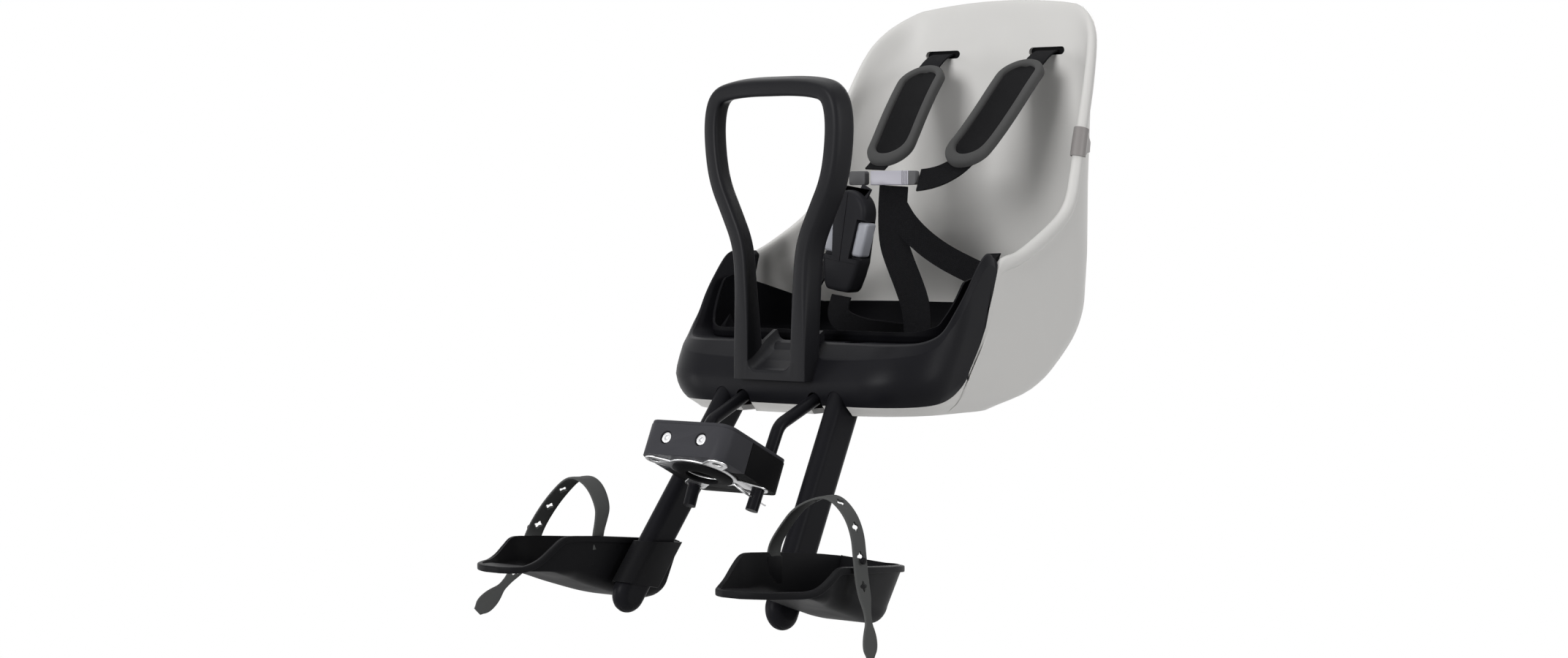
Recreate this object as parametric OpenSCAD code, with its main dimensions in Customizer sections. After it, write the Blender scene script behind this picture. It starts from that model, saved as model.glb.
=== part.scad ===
/* [Seat shell] */
// Half of the shell's width at the arms
shell_half_w = 160; // [150:1:175]
// Thickness of the shell's moulded wall
shell_wall = 5; // [3:0.5:7]
// Height of the backrest over the underside
shell_h = 410; // [380:5:440]
// Radius of the rolled bead along the rim
rim_bead_r = 4; // [2.5:0.5:5]
// Distance between the middles of the two strap slots
slot_pitch = 130; // [110:2:150]
// Height of the strap slots over the underside
slot_z = 356; // [320:2:370]
// Width of a strap slot
slot_w = 30; // [28:1:36]

/* [Base frame] */
// Wall of the frame's arms
frame_wall = 13; // [9:0.5:16]
// Height of the front lip over the underside
lip_h = 67; // [60:1:74]
// Front to back depth of the front bar
bar_depth = 34; // [28:1:44]

/* [Grab handle] */
// Height of the handle loop
handle_h = 285; // [260:5:310]
// Outer width of the loop at its widest place
handle_w = 160; // [140:2:170]
// Front to back depth of the handle's section
handle_depth = 24; // [18:1:30]
// Width of the handle's section seen from the front
handle_bar = 15; // [12:1:19]

/* [Legs and footrests] */
// Front to back depth of a leg's oval section
leg_depth = 38; // [34:1:44]
// Thickness of a leg's oval section
leg_thick = 18; // [14:1:22]
// Gap round a leg in the footrest's collar
collar_gap = 0.4; // [0.3:0.1:0.8]
// Wall of the footrest tray and its collar
tray_wall = 3.2; // [2.4:0.2:4.5]
// Width of the rubber foot strap
foot_strap_w = 15; // [12:1:20]
// Thickness of the rubber foot strap
foot_strap_t = 2.6; // [2:0.2:4]

/* [Mounting block] */
// Bore for the handlebar stem
stem_d = 28.6; // [22.2:0.1:31.8]
// Backward lean of the stem axis, in degrees
stem_tilt = 25; // [15:1:30]
// Width of the block
block_w = 97; // [90:1:104]
// Front to back depth of the block
block_d = 97; // [90:1:104]
// Height of the block along the stem
block_h = 34; // [28:1:40]
// Distance from the front face to the stem axis
stem_setback = 40; // [36:1:46]
// Distance between the two clamp bolts
bolt_pitch = 41; // [40:0.5:46]
// Diameter of the clamp bolts' shanks
bolt_d = 6; // [5:0.5:6]
// Diameter of the mounting fork's rod
rod_d = 12; // [10:0.5:14]
// Distance between the fork's two prongs at the block
rod_pitch = 74.4; // [70:0.5:78]

/* [Harness] */
// Width of the webbing
webbing_w = 25; // [20:1:28]
// Thickness of the webbing
webbing_t = 1.8; // [1.2:0.2:2.6]
// Length of a shoulder pad
pad_l = 150; // [130:5:160]
// Width of a shoulder pad
pad_w = 46; // [40:1:54]
// Inward travel room of the buckle's buttons
button_travel = 3.5; // [2.5:0.5:5]

/* [Hidden] */
$fn = 40;
eps = 0.01;

// Place of the seat's front bottom edge, seen from the middle of the stem bore
seat_y = 103;
seat_z = 32;

// Side outlines of the shell as tables of height against size
side_table = [[0, -26], [5, -16], [14, -8], [30, -2], [60, 0], [150, 0], [270, -7],
              [364, -13], [420, -20]];
front_table = [[0, 14], [4, 7], [10, 2], [20, -1], [33, -2], [50, 6], [67, 16], [90, 28],
               [420, 60]];
back_table = [[0, 185], [3, 205], [9, 234], [22, 262], [50, 300], [72, 324], [95, 337],
              [219, 350], [327, 366], [371, 374], [420, 384]];
front_corner = 62;
back_corner = 68;
shell_levels = [0, 5, 14, 30, 50, 72, 95, 150, 210, 270, 327, 371, 420];
function half_w(z) = shell_half_w + lookup(z, side_table);
function front_y(z) = lookup(z, front_table);
function back_y(z) = lookup(z, back_table);

// Rim of the shell in side view, from the front bottom edge to the top
rim_line = [[-20, 9], [36, 9], [62, 13], [80, 25], [104, 60], [126, 110], [137, 142],
            [150, 148], [168, 150], [200, 163], [240, 182], [262, 198], [273, 220],
            [288, 270], [312, 320], [334, 362], [352, 386], [366, 402], [378, 409],
            [400, 410]];
// Top edge of the base frame in side view, from the front lip to the arm's tip
arm_line = [[-20, lip_h], [22, lip_h], [40, lip_h + 3], [58, lip_h + 12],
            [76, lip_h + 36], [94, lip_h + 58], [112, lip_h + 79], [122, lip_h + 85],
            [131, lip_h + 83]];

seam_gap = 0.15;
seam_line = [for (i = [len(smooth(rim_line)) - 1 : -1 : 0]) let (p = smooth(rim_line)[i])
    if (p.x < 137.2) [p.x - seam_gap, p.y + seam_gap]];

function lerp(a, b, t) = a + (b - a) * t;
function mirror_x(p) = [-p.x, p.y, p.z];
function unit(v) = v / norm(v);

// One corner-cutting pass over an open line, which keeps its ends
function cut_corners(p) = concat([p[0]],
    [for (i = [0 : len(p) - 2]) each [lerp(p[i], p[i + 1], 0.25), lerp(p[i], p[i + 1], 0.75)]],
    [p[len(p) - 1]]);
function smooth(p, passes = 2) = passes == 0 ? p : smooth(cut_corners(p), passes - 1);

// Direction of a path at point i, and the ring of a shape set square to it
function path_dir(p, i) = unit(p[min(i + 1, len(p) - 1)] - p[max(i - 1, 0)]);
function path_ring(p, i, shape, up, wide) =
    let (t = path_dir(p, i), s = unit(cross(up, t)), n = cross(t, s))
    [for (q = shape) p[i] + s * q.x + n * q.y * wide];

// Closed solid through a list of rings that all have the same number of points
module loft(rings) {
    m = len(rings[0]);
    n = len(rings);
    sides = [for (i = [0 : n - 2], j = [0 : m - 1])
        let (a = i * m + j, b = i * m + (j + 1) % m, c = b + m, d = a + m)
        each [[a, d, c], [a, c, b]]];
    start = [for (j = [0 : m - 1]) j];
    finish = [for (j = [m - 1 : -1 : 0]) (n - 1) * m + j];
    polyhedron([for (r = rings) each r], concat([start], sides, [finish]));
}
// Flat outline carried along a path: its y lies along up, its x across both;
// widths, where given, scales y at each point, and up_end is what up turns into past turn_at
module sweep(path, shape, up, widths = undef, up_end = undef, turn_at = 0) {
    n = len(path) - 1;
    loft([for (i = [0 : n]) path_ring(path, i, shape, up_end == undef ? up :
        lerp(up, up_end, max(0, i / n - turn_at) / (1 - turn_at)),
        widths == undef ? 1 : widths[i])]);
}
function strip(w, t) = [[-w / 2, -t / 2], [w / 2, -t / 2], [w / 2, t / 2], [-w / 2, t / 2]];
function round_bar(r, n = 10) = [for (i = [0 : n - 1]) r * [cos(i * 360 / n), sin(i * 360 / n)]];

module seat() { translate([0, seat_y, seat_z]) children(); }
module stem() { rotate([-stem_tilt, 0, 0]) children(); }
module mirror_if(yes) { mirror([yes ? 1 : 0, 0, 0]) children(); }
module both_sides() { for (s = [0, 1]) mirror([s, 0, 0]) children(); }

// Plan outline of the bucket at height z, drawn in by the given amounts
function arc(x, y, r, from) = [for (a = [from : 10 : from + 90]) [x + r * cos(a), y + r * sin(a)]];
function plan(z, side, front, back) =
    let (w = half_w(z) - side, y0 = front_y(z) + front, y1 = back_y(z) - back,
         rf = front_corner - min(side, front), rb = back_corner - min(side, back))
    [for (p = concat(arc(w - rf, y0 + rf, rf, -90), arc(w - rb, y1 - rb, rb, 0),
                     arc(rb - w, y1 - rb, rb, 90), arc(rf - w, y0 + rf, rf, 180)))
        [p.x, p.y, z]];
// Body of the bucket, drawn in by the given amounts, from height z0 to top
module tub(side = 0, front = 0, back = 0, z0 = 0, top = 420) {
    loft([for (z = concat([z0], [for (z = shell_levels) if (z > z0 + 1 && z < top) z], [top]))
        plan(z, side, front, back)]);
}
// Solid over the full width with a given outline in side view
module side_prism(points, w = 2 * shell_half_w + 20) {
    translate([w / 2, 0, 0]) rotate([90, 0, -90]) linear_extrude(w)
        polygon([for (p = points) [-p.x, p.y]]);
}

// Middle of the shell's wall at a side, for a place given in side view
function wall_x(y, z) =
    let (w = half_w(z) - shell_wall / 2, b = back_y(z) - shell_wall / 2,
         r = back_corner - shell_wall / 2)
    y < b - r ? w : w - r + sqrt(max(0, r * r - pow(y - b + r, 2)));
bead_half = [for (p = smooth(rim_line)) if (p.x > 139 && p.x < 377) [wall_x(p.x, p.y), p.x, p.y]];
bead_line = concat(bead_half, [[0, bead_half[len(bead_half) - 1].y + 1, shell_h]],
    [for (i = [len(bead_half) - 1 : -1 : 0]) mirror_x(bead_half[i])]);

// Places where the webbing goes through the liner and the shell
crotch_slot = [0, 212, 60];
adjuster_slot = [22, 188, 60];
hip_slot = [155, 248, 110];
hip_turn = 41;

// Leg line, from the socket in the frame to the middle of its round foot
leg_top = [64.4, 33, 38];
leg_end = [91.5, -110, -167];
leg_dir = unit(leg_end - leg_top);
leg_len = norm(leg_end - leg_top);
module along_leg(at = leg_top) {
    z_axis = leg_dir;
    x_axis = unit(cross([0, 1, 0], z_axis));
    y_axis = cross(z_axis, x_axis);
    multmatrix([[x_axis.x, y_axis.x, z_axis.x, at.x], [x_axis.y, y_axis.y, z_axis.y, at.y],
                [x_axis.z, y_axis.z, z_axis.z, at.z], [0, 0, 0, 1]]) children();
}
module leg_section(grow = 0) {
    r = leg_thick / 2 + grow;
    straight = leg_depth - leg_thick;
    for (s = [-0.5, 0.5]) translate([0, s * straight]) circle(r);
    square([2 * r, straight], center = true);
}

// Route of the fork: up out of the block, bent back and into the seat's floor space
rod_local_y = 77 - stem_setback;
function in_stem(p) = [p.x, p.y * cos(stem_tilt) + p.z * sin(stem_tilt),
                       p.z * cos(stem_tilt) - p.y * sin(stem_tilt)];
rod_low = in_stem([rod_pitch / 2, rod_local_y, -(block_h / 2 + 22.5)]);
rod_knee = [41, seat_y - 50, seat_z - 6.7];
rod_mouth = [42.8, seat_y, seat_z + 13.5];
rod_inner = [44, seat_y + 40, seat_z + 29];
rod_back = [44, seat_y + 118, seat_z + 29];
module rod_run(a, b, r = rod_d / 2) {
    d = b - a;
    translate(a) rotate([0, acos(d.z / norm(d)), atan2(d.y, d.x)]) cylinder(r = r, h = norm(d));
}
module prong_bores() { both_sides() rod_run(rod_low, lerp(rod_low, rod_knee, 0.95)); }
module rod_bend(p, r = rod_d / 2) { translate(p) sphere(r, $fn = 24); }

module seat_shell() color([0.84, 0.83, 0.81]) seat() {
    sweep(bead_line, round_bar(rim_bead_r), [0, 0.3, 1]);
    difference() {
        intersection() {
            difference() {
                tub(z0 = 0);
                tub(shell_wall, shell_wall, shell_wall, shell_wall);
            }
            side_prism(concat(smooth(rim_line), [[440, 410], [440, -20], [-20, -20]]));
        }
        both_sides() translate([slot_pitch / 2, back_y(slot_z), slot_z])
            cube([slot_w, 40, 7], center = true);
        both_sides() along_leg() translate([0, 0, -40]) linear_extrude(120) leg_section(1.5);
        both_sides() translate([rod_mouth.x, 0, 0]) cube([rod_d + 4, 60, 30], center = true);
        both_sides() translate([shell_half_w, hip_slot.y, hip_slot.z]) rotate([hip_turn, 0, 0])
            cube([30, webbing_w + 2, 4], center = true);
    }
}

module base_frame() color([0.07, 0.07, 0.08]) seat() {
    difference() {
        intersection() {
            difference() {
                tub(z0 = 0, top = 190);
                tub(frame_wall, bar_depth, frame_wall, -1, 191);
            }
            side_prism(concat(smooth(arm_line), seam_line));
        }
        both_sides() along_leg() translate([0, 0, -40]) linear_extrude(120) leg_section(0.05);
        both_sides() translate([rod_mouth.x, 0, 0]) cube([rod_d + 3, 12, 27], center = true);
        translate([0, -seat_y, -seat_z]) both_sides() rod_run(rod_knee, rod_inner, rod_d / 2 + 0.2);
        handle_loop();
        handle_saddle();
    }
}

// Inner pan, which hangs in the tub by its edge
pan_floor = 58;
pan_wall = 2.5;
pan_gap = 0.4;
module seat_liner() color([0.06, 0.06, 0.07]) seat() {
    difference() {
        intersection() {
            tub(frame_wall + pan_gap, bar_depth + pan_gap, shell_wall + pan_gap, pan_floor, 150);
            side_prism([[30, 50], [30, 72], [36, 75.5], [44, 77], [56, 78], [70, 84],
                [84, 104], [98, 124], [112, 128], [160, 117], [210, 105], [260, 97],
                [360, 95], [360, 50]]);
        }
        tub(frame_wall + pan_wall, bar_depth + 12, shell_wall + pan_wall,
            pan_floor + pan_wall, 150);
        translate(crotch_slot) cube([webbing_w + 4, 6, 20], center = true);
        translate(adjuster_slot) cube([webbing_w + 4, 6, 20], center = true);
    }
}

// Middle line of the handle's right half, from the foot to the top
handle_foot = lip_h - 35;
handle_top = handle_foot + handle_h - handle_bar / 2 - 3;
handle_reach = handle_w / 2 - handle_bar / 2;
handle_half = [[34, handle_foot], [34, handle_foot + 50], [34.5, handle_foot + 98],
    [38, handle_top - 145], [52, handle_top - 115], [handle_reach - 7, handle_top - 88],
    [handle_reach - 1.5, handle_top - 60], [handle_reach, handle_top - 28],
    [handle_reach - 6, handle_top - 7], [50, handle_top - 2], [25, handle_top]];
handle_line = smooth(concat([for (p = handle_half) [-p.x, p.y]], [[0, handle_top]],
    [for (i = [len(handle_half) - 1 : -1 : 0]) handle_half[i]]), 1);
handle_y = -14;
// Rounded section of the bar, w across the loop and d front to back
function bar_section(w, d, n = 12) = [for (i = [0 : n - 1]) let (a = (i + 0.5) * 360 / n)
    [w / 2 * sign(cos(a)) * pow(abs(cos(a)), 0.6), d / 2 * sign(sin(a)) * pow(abs(sin(a)), 0.6)]];
handle_flare = 4;
handle_section = [for (q = bar_section(handle_bar + 2, handle_depth))
    [q.x - handle_flare * (q.y / handle_depth + 0.5), q.y]];
module handle_loop() {
    translate([0, handle_y + handle_depth / 2, 0])
        sweep([for (p = handle_line) [p.x, 0, p.y]], handle_section, [0, 1, 0]);
}
// Saddle between the feet, which rises towards the back
module handle_saddle() {
    translate([0, handle_y, 0]) rotate([90, 0, 90]) linear_extrude(2 * 28, center = true)
        polygon([[5, handle_foot], [6, handle_foot + 7], [14, handle_foot + 13],
                 [26, handle_foot + 24], [46, handle_foot + 37], [46, handle_foot + 28],
                 [30, handle_foot]]);
}
module grab_handle() color([0.08, 0.08, 0.09]) seat() {
    handle_loop();
    handle_saddle();
}

module mounting_fork() color([0.1, 0.1, 0.11]) difference() {
    union() {
        both_sides() {
            rod_run(rod_low, rod_knee);
            rod_bend(rod_knee);
            rod_run(rod_knee, rod_inner);
            rod_bend(rod_inner);
            rod_run(rod_inner, rod_back);
            rod_bend(rod_back);
        }
        rod_run([-rod_back.x, rod_back.y, rod_back.z], rod_back);
    }
    stem() translate([rod_pitch / 2, rod_local_y, -block_h / 2 - plate_t - clip_drop])
        rotate([90, 0, 0]) cylinder(d = clip_wire + 0.6, h = 30, center = true);
}

module leg(side) mirror_if(side < 0) seat() along_leg() {
    linear_extrude(leg_len) leg_section();
    translate([0, 0, leg_len]) rotate([0, 90, 0]) rotate_extrude($fn = 32) intersection() {
        union() {
            translate([(leg_depth - leg_thick) / 2, 0]) circle(leg_thick / 2, $fn = 24);
            translate([-1, -leg_thick / 2]) square([1 + (leg_depth - leg_thick) / 2, leg_thick]);
        }
        translate([0, -leg_depth]) square(2 * leg_depth);
    }
}
module leg_left() color([0.07, 0.07, 0.08]) leg(-1);
module leg_right() color([0.07, 0.07, 0.08]) leg(1);

// Block outline, front to back along y
module block_outline(grow = 0) {
    hull() both_sides() {
        translate([block_w / 2 - 13, -stem_setback + 13]) circle(13 + grow);
        translate([block_w / 2 - 10, block_d - stem_setback - 10]) circle(10 + grow);
    }
}
module block_body() color([0.06, 0.06, 0.06]) difference() {
    block_rear();
    prong_bores();
}
module block_rear() stem() difference() {
    translate([0, 0, -block_h / 2]) linear_extrude(block_h - 3.5) intersection() {
        block_outline();
        translate([-block_w, 0.4]) square([2 * block_w, block_d]);
    }
    cylinder(d = stem_d, h = 3 * block_h, center = true);
    both_sides() {
        translate([bolt_pitch / 2, 0, 0]) rotate([-90, 0, 0])
            cylinder(d = bolt_d, h = nut_y + 12);
        translate([bolt_pitch / 2, nut_y, 0]) rotate([-90, 0, 0])
            cylinder(d = nut_d, h = nut_h, $fn = 6);
    }
}
module block_front() color([0.3, 0.3, 0.31]) stem() difference() {
    translate([0, 0, -block_h / 2]) linear_extrude(block_h - 3.5) intersection() {
        block_outline();
        translate([-block_w, -block_d]) square([2 * block_w, block_d - 0.4]);
    }
    cylinder(d = stem_d, h = 3 * block_h, center = true);
    both_sides() translate([bolt_pitch / 2, 0, 0]) rotate([90, 0, 0]) {
        cylinder(d = bolt_d, h = 3 * block_d, center = true);
        translate([0, 0, stem_setback - 6]) cylinder(d = 13, h = 20);
    }
}

module block_cover() color([0.08, 0.08, 0.09]) difference() {
    stem() difference() {
        translate([0, 0, block_h / 2 - 3.5]) linear_extrude(3.5) block_outline(-0.6);
        cylinder(d = stem_d + 6, h = 3 * block_h, center = true);
    }
    prong_bores();
}
// Flanged bush that the stem passes through, flush under the block
bush_flange_d = 58;
bush_play = 3;
plate_t = 2;
module stem_bush() color([0.09, 0.09, 0.1]) stem()
    translate([0, 0, -block_h / 2 - plate_t]) rotate([180, 0, 0]) difference() {
        rotate_extrude() polygon([[0, 0], [bush_flange_d / 2, 0], [bush_flange_d / 2, 1.5],
                                  [bush_flange_d / 2 - 8, 4], [0, 4.6]]);
        cylinder(d = stem_d + bush_play, h = 30, center = true);
    }
eyelet_d = 20;
eyelet_front_x = block_w / 2 - 12;
eyelet_front_y = -stem_setback + 13;
module lower_plate() color([0.75, 0.75, 0.76]) difference() {
    plate_blank();
    prong_bores();
}
module plate_blank() stem() translate([0, 0, -block_h / 2 - plate_t])
        linear_extrude(plate_t) difference() {
            union() {
                circle(d = bush_flange_d + 8);
                both_sides() {
                    hull() {
                        translate([rod_pitch / 2, rod_local_y]) circle(d = eyelet_d);
                        translate([12, 16]) circle(d = eyelet_d);
                    }
                    hull() {
                        translate([eyelet_front_x, eyelet_front_y]) circle(d = eyelet_d);
                        translate([12, -10]) circle(d = eyelet_d);
                    }
                }
            }
            circle(d = stem_d + bush_play);
            both_sides() translate([eyelet_front_x, eyelet_front_y]) circle(d = 9);
        }
module clamp_bolts() color([0.8, 0.8, 0.8]) stem() both_sides()
    translate([bolt_pitch / 2, -stem_setback + 6, 0]) rotate([-90, 0, 0]) {
        cylinder(d = bolt_d, h = stem_setback - 6 + nut_y + nut_h + 2);
        difference() {
            translate([0, 0, -bolt_d + 1]) cylinder(d = 10, h = bolt_d - 1);
            translate([0, 0, -bolt_d]) cylinder(d = 5.6, h = 3.5, $fn = 6);
        }
    }
module clamp_nuts() color([0.7, 0.7, 0.7]) stem() both_sides()
    translate([bolt_pitch / 2, nut_y, 0]) rotate([-90, 0, 0]) difference() {
        cylinder(d = nut_d, h = nut_h, $fn = 6);
        cylinder(d = bolt_d, h = 3 * nut_h, center = true);
    }
nut_d = 11;
nut_h = 5;
nut_y = 10;

// Spring cotter through the right prong: straight leg, loop, and an arm round the rod
clip_wire = 1.8;
clip_drop = 9;
clip_turn = 35;
clip_route = smooth([[0, 17], [0, -12], [0.6, -19], [3.5, -25], [8, -27], [11, -23.5], [10.6, -17],
    [8.8, -12], [9.4, -6], [9.9, 0], [9.6, 5], [11.5, 11]], 1);
module retaining_clip() color([0.8, 0.8, 0.82]) stem()
    translate([rod_pitch / 2, rod_local_y, -block_h / 2 - plate_t - clip_drop])
        sweep([for (p = clip_route) [-p.x * cos(clip_turn), p.y, p.x * sin(clip_turn)]],
              round_bar(clip_wire / 2, 8), [sin(clip_turn), 0, cos(clip_turn)]);

// Footrest tray stations from the toe to the heel:
// y, inner rim x, outer rim x, inner rim z, outer rim z, underside z, backward lean of the walls
tray_stations = [[-243, 131, 150, -133, -133, -136, 0], [-238, 121, 161, -133, -133, -136.5, 0],
    [-228, 114, 172, -132.5, -133.5, -137.2, 0], [-214, 109.5, 181, -127.5, -134, -138.5, 0],
    [-200, 106.5, 188, -118, -134.5, -140, 0], [-190, 105, 191.5, -111.5, -133, -142, 0],
    [-182, 104, 193, -109, -130, -144.5, 0], [-172, 103.4, 194.3, -109.2, -124, -147.5, 0],
    [-160, 103, 195, -110.2, -117.5, -151.5, 0], [-140, 101.8, 195.6, -112, -118.5, -158.5, 0],
    [-115, 100, 194.5, -114.7, -120.5, -166, 0.03], [-90, 98.5, 191.5, -117.5, -122.8, -172.5, 0.1],
    [-65, 97.5, 187, -120.5, -125, -177, 0.2], [-48, 97, 181, -123, -126.8, -178.5, 0.3],
    [-38, 97, 174, -124.5, -128, -178.5, 0.36], [-32, 97, 164, -125.5, -128.5, -178, 0.4],
    [-29, 97, 152, -126, -129, -177, 0.42]];
inner_flare = 0.08;
outer_flare = 0.24;
tray_mid = (tray_stations[0][0] + tray_stations[len(tray_stations) - 1][0]) / 2;
tray_half = tray_stations[len(tray_stations) - 1][0] - tray_mid;
// One cross-section of the tray, drawn in by a wall and with its top raised
function tray_ring(t, wall, raise) =
    let (y = tray_mid + (t[0] - tray_mid) * (1 - wall / tray_half),
         low_rim = min(t[3], t[4]), zf = min(t[5] + wall, low_rim - 0.8),
         r = min(16, (low_rim - t[5]) * 0.42, (low_rim - zf) * 0.9),
         xa = t[1] + wall + inner_flare * (t[3] - zf - r),
         xb = t[2] - wall - outer_flare * (t[4] - zf - r))
    [for (q = concat(raise > 0 ? [[t[2] - wall, t[4] + raise]] : [], [[t[2] - wall, t[4]]],
              [for (a = [0 : 30 : 90]) [xb - r + r * cos(a), zf + r - r * sin(a)]],
              [for (a = [90 : -30 : 0]) [xa + r - r * cos(a), zf + r - r * sin(a)]],
              [[t[1] + wall, t[3]]], raise > 0 ? [[t[1] + wall, t[3] + raise]] : []))
        [q.x, y + t[6] * min(0, q.y - t[3]), q.y]];
tray_rim = concat([for (i = [len(tray_stations) - 6 : -1 : 0]) let (t = tray_stations[i])
        [t[1], t[0], t[3]]], [for (t = tray_stations) [t[2], t[0], t[4]]]);
rim_band = 5;
rim_out = 1.2;
rim_tilt = -5.4;
rim_at = [0, -45, -124];
collar_low = [0, -79, -165];
collar_tilt = -12;
module above_plane(at, tilt, h) {
    translate(at) rotate([tilt, 0, 0]) translate([40, -150, 0]) cube([80, 300, h]);
}
// Leg section with a wall round it, square behind
module collar_section() {
    r = leg_thick / 2 + collar_gap + tray_wall;
    leg_section(collar_gap + tray_wall);
    translate([-r, leg_depth / 2 - leg_thick / 2]) square([2 * r, leg_thick / 2 + tray_wall + 4]);
}
anchor_w = foot_strap_w + 5;
module footrest(side) mirror_if(side < 0) seat() difference() {
    arch = side < 0 ? arch_left : arch_right;
    union() {
        difference() {
            union() {
                loft([for (t = tray_stations) tray_ring(t, 0, 0)]);
                sweep(tray_rim, [[-rim_out, -rim_band], [tray_wall / 2, -rim_band],
                                 [tray_wall / 2, 0.3], [-rim_out, 0.3]], [0, 0, 1]);
            }
            loft([for (t = tray_stations) tray_ring(t, tray_wall, 9)]);
        }
        intersection() {
            along_leg() linear_extrude(300) collar_section();
            above_plane(collar_low, collar_tilt, 80);
            above_plane(rim_at - [0, 0, 60], rim_tilt, 60);
        }
        // Pocket for the end of the foot strap
        translate([arch[0].x - 3, arch[0].y - anchor_w / 2, -155])
            cube([7, anchor_w, 155 + arch[0].z + 12]);
    }
    along_leg() linear_extrude(320) leg_section(collar_gap);
    foot_strap_body(arch, 0.1);
}
module footrest_left() color([0.06, 0.06, 0.07]) footrest(-1);
module footrest_right() color([0.06, 0.06, 0.07]) footrest(1);

// Foot strap: out of its pocket, over the foot and down outside the outer wall
arch_foot = [[104.6, -139, -124], [104.6, -139, -111]];
arch_right = smooth(concat(arch_foot, [[108, -139, -101], [117.7, -139, -87.7],
    [133.6, -139, -69.5], [157, -139, -59], [173, -139, -58], [189, -139, -71],
    [197.5, -139, -88.7], [199.8, -139, -108], [202.5, -139.5, -129.7], [208, -140, -151],
    [212, -141, -170], [214, -142, -196]]), 1);
arch_left = smooth(concat(arch_foot, [[100, -139, -96], [98, -139, -84], [106, -139, -67],
    [120.5, -137, -58.5], [138, -135, -59], [163, -132, -78], [184, -129, -99],
    [198, -126.5, -117], [203, -128, -134], [210, -141.6, -155.5], [217, -157, -172],
    [228, -173, -190]]), 1);
// Width of the strap as a share along its length: plain band, neck, then a round paddle
strap_shape = [[0, 1], [0.72, 1], [0.77, 0.95], [0.82, 0.6], [0.85, 0.55], [0.88, 1.05],
               [0.93, 1.2], [0.97, 0.95], [1, 0.35]];
module foot_strap_body(arch, grow = 0) {
    n = len(arch) - 1;
    sweep(arch, strip(foot_strap_t + 2 * grow, foot_strap_w + 2 * grow), [0.1, 1, 0.05],
          [for (i = [0 : n]) lookup(i / n, strap_shape)]);
}
module foot_strap(side) mirror_if(side < 0) seat()
    foot_strap_body(side < 0 ? arch_left : arch_right);
module foot_strap_left() color([0.33, 0.33, 0.33]) foot_strap(-1);
module foot_strap_right() color([0.33, 0.33, 0.33]) foot_strap(1);
module strap_stud(side) mirror_if(side < 0) seat()
    translate(side < 0 ? [200.8, -126.5, -112] : [202.4, -139, -112]) rotate([0, 90, 0])
        cylinder(d = 6, h = 3);
module strap_stud_left() color([0.06, 0.06, 0.07]) strap_stud(-1);
module strap_stud_right() color([0.06, 0.06, 0.07]) strap_stud(1);

// Steel saddle that holds the fork's cross bar down on the shell's floor
module fork_clamp() color([0.6, 0.6, 0.62]) translate([0, rod_back.y, rod_back.z]) {
    difference() {
        union() {
            rotate([0, 90, 0]) cylinder(d = rod_d + 6, h = 50, center = true);
            translate([-25, -20, shell_wall - 29]) cube([50, 40, 4]);
            translate([-25, -9, shell_wall - 29]) cube([50, 18, 24]);
        }
        rotate([0, 90, 0]) cylinder(d = rod_d, h = 60, center = true);
    }
}

// Webbing routes, in the seat's frame
slot_back = back_y(slot_z);
function strap_root(x) = [[x, slot_back + 3.6, slot_z - 20], [x, slot_back + 6, slot_z - 8],
    [x, slot_back + 5.5, slot_z - 1], [x, slot_back - 2, slot_z + 0.5],
    [x * 1.005, slot_back - 14, slot_z - 3]];
shoulder_right = smooth(concat(strap_root(slot_pitch / 2), [[67, 338, 342], [69, 305, 318],
    [69, 270, 286], [66, 238, 256], [60, 217, 237], [47, 205, 227], [33, 200.5, 223],
    [22, 200, 222]]), 1);
shoulder_left = smooth(concat(strap_root(-slot_pitch / 2), [[-63, 338, 342], [-58, 305, 318],
    [-50, 270, 288], [-42, 240, 260], [-38, 219, 241], [-39, 209, 233.5]]), 1);
pad_right = smooth([[67.5, 338, 343], [69, 305, 319], [69, 270, 287], [66, 238, 257],
                    [60, 217, 237.5]]);
pad_left = smooth([[-63, 338, 343], [-58, 305, 319], [-50, 270, 289], [-42, 240, 261],
                   [-37, 219, 242]]);
crotch_route = smooth([[-56, 176, 106], [-58, 172, 92], [-54, 172, 81], [-36, 180, 74],
    [-14, 196, 72], [-2, 208, 70], [0, 212, 64], [0, 212, 54]], 1);
adjuster_route = smooth([[-8.6, 203, 213.5], [-4, 203, 190], [6, 202, 150], [16, 198, 110],
    [21, 191, 82], [22, 188, 54]], 1);
hip_right = smooth([[-14, 208.5, 198], [2, 210, 172], [34, 215, 146], [76, 224, 127],
    [118, 238, 114], [142, 247, 110.5], [159, hip_slot.y, hip_slot.z]], 1);
hip_left = smooth([[-62, 205, 200], [-80, 209, 174], [-102, 219, 146], [-124, 232, 124],
    [-140, 244, 113], [-150, 247, 110.5], [-159, hip_slot.y, hip_slot.z]], 1);
module webbing(route, across, across_end = undef, turn_at = 0) color([0.13, 0.13, 0.14]) seat()
    sweep(route, strip(webbing_t, webbing_w), across, undef, across_end, turn_at);
module shoulder_strap_left() webbing(shoulder_left, [1, 0, 0]);
module shoulder_strap_right() webbing(shoulder_right, [1, 0, 0], [0.1, -0.5, -0.85], 0.7);
module crotch_strap() webbing(crotch_route, [0.9, 0.1, 0.45]);
module hip_strap_left() webbing(hip_left, [-0.6, 0, 0.8], [-0.25, 0.75, 0.65]);
module hip_strap_right() webbing(hip_right, [0.6, 0, 0.8], [0.25, 0.75, 0.65]);
module adjuster_strap() webbing(adjuster_route, [1, 0, 0.1]);

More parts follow.
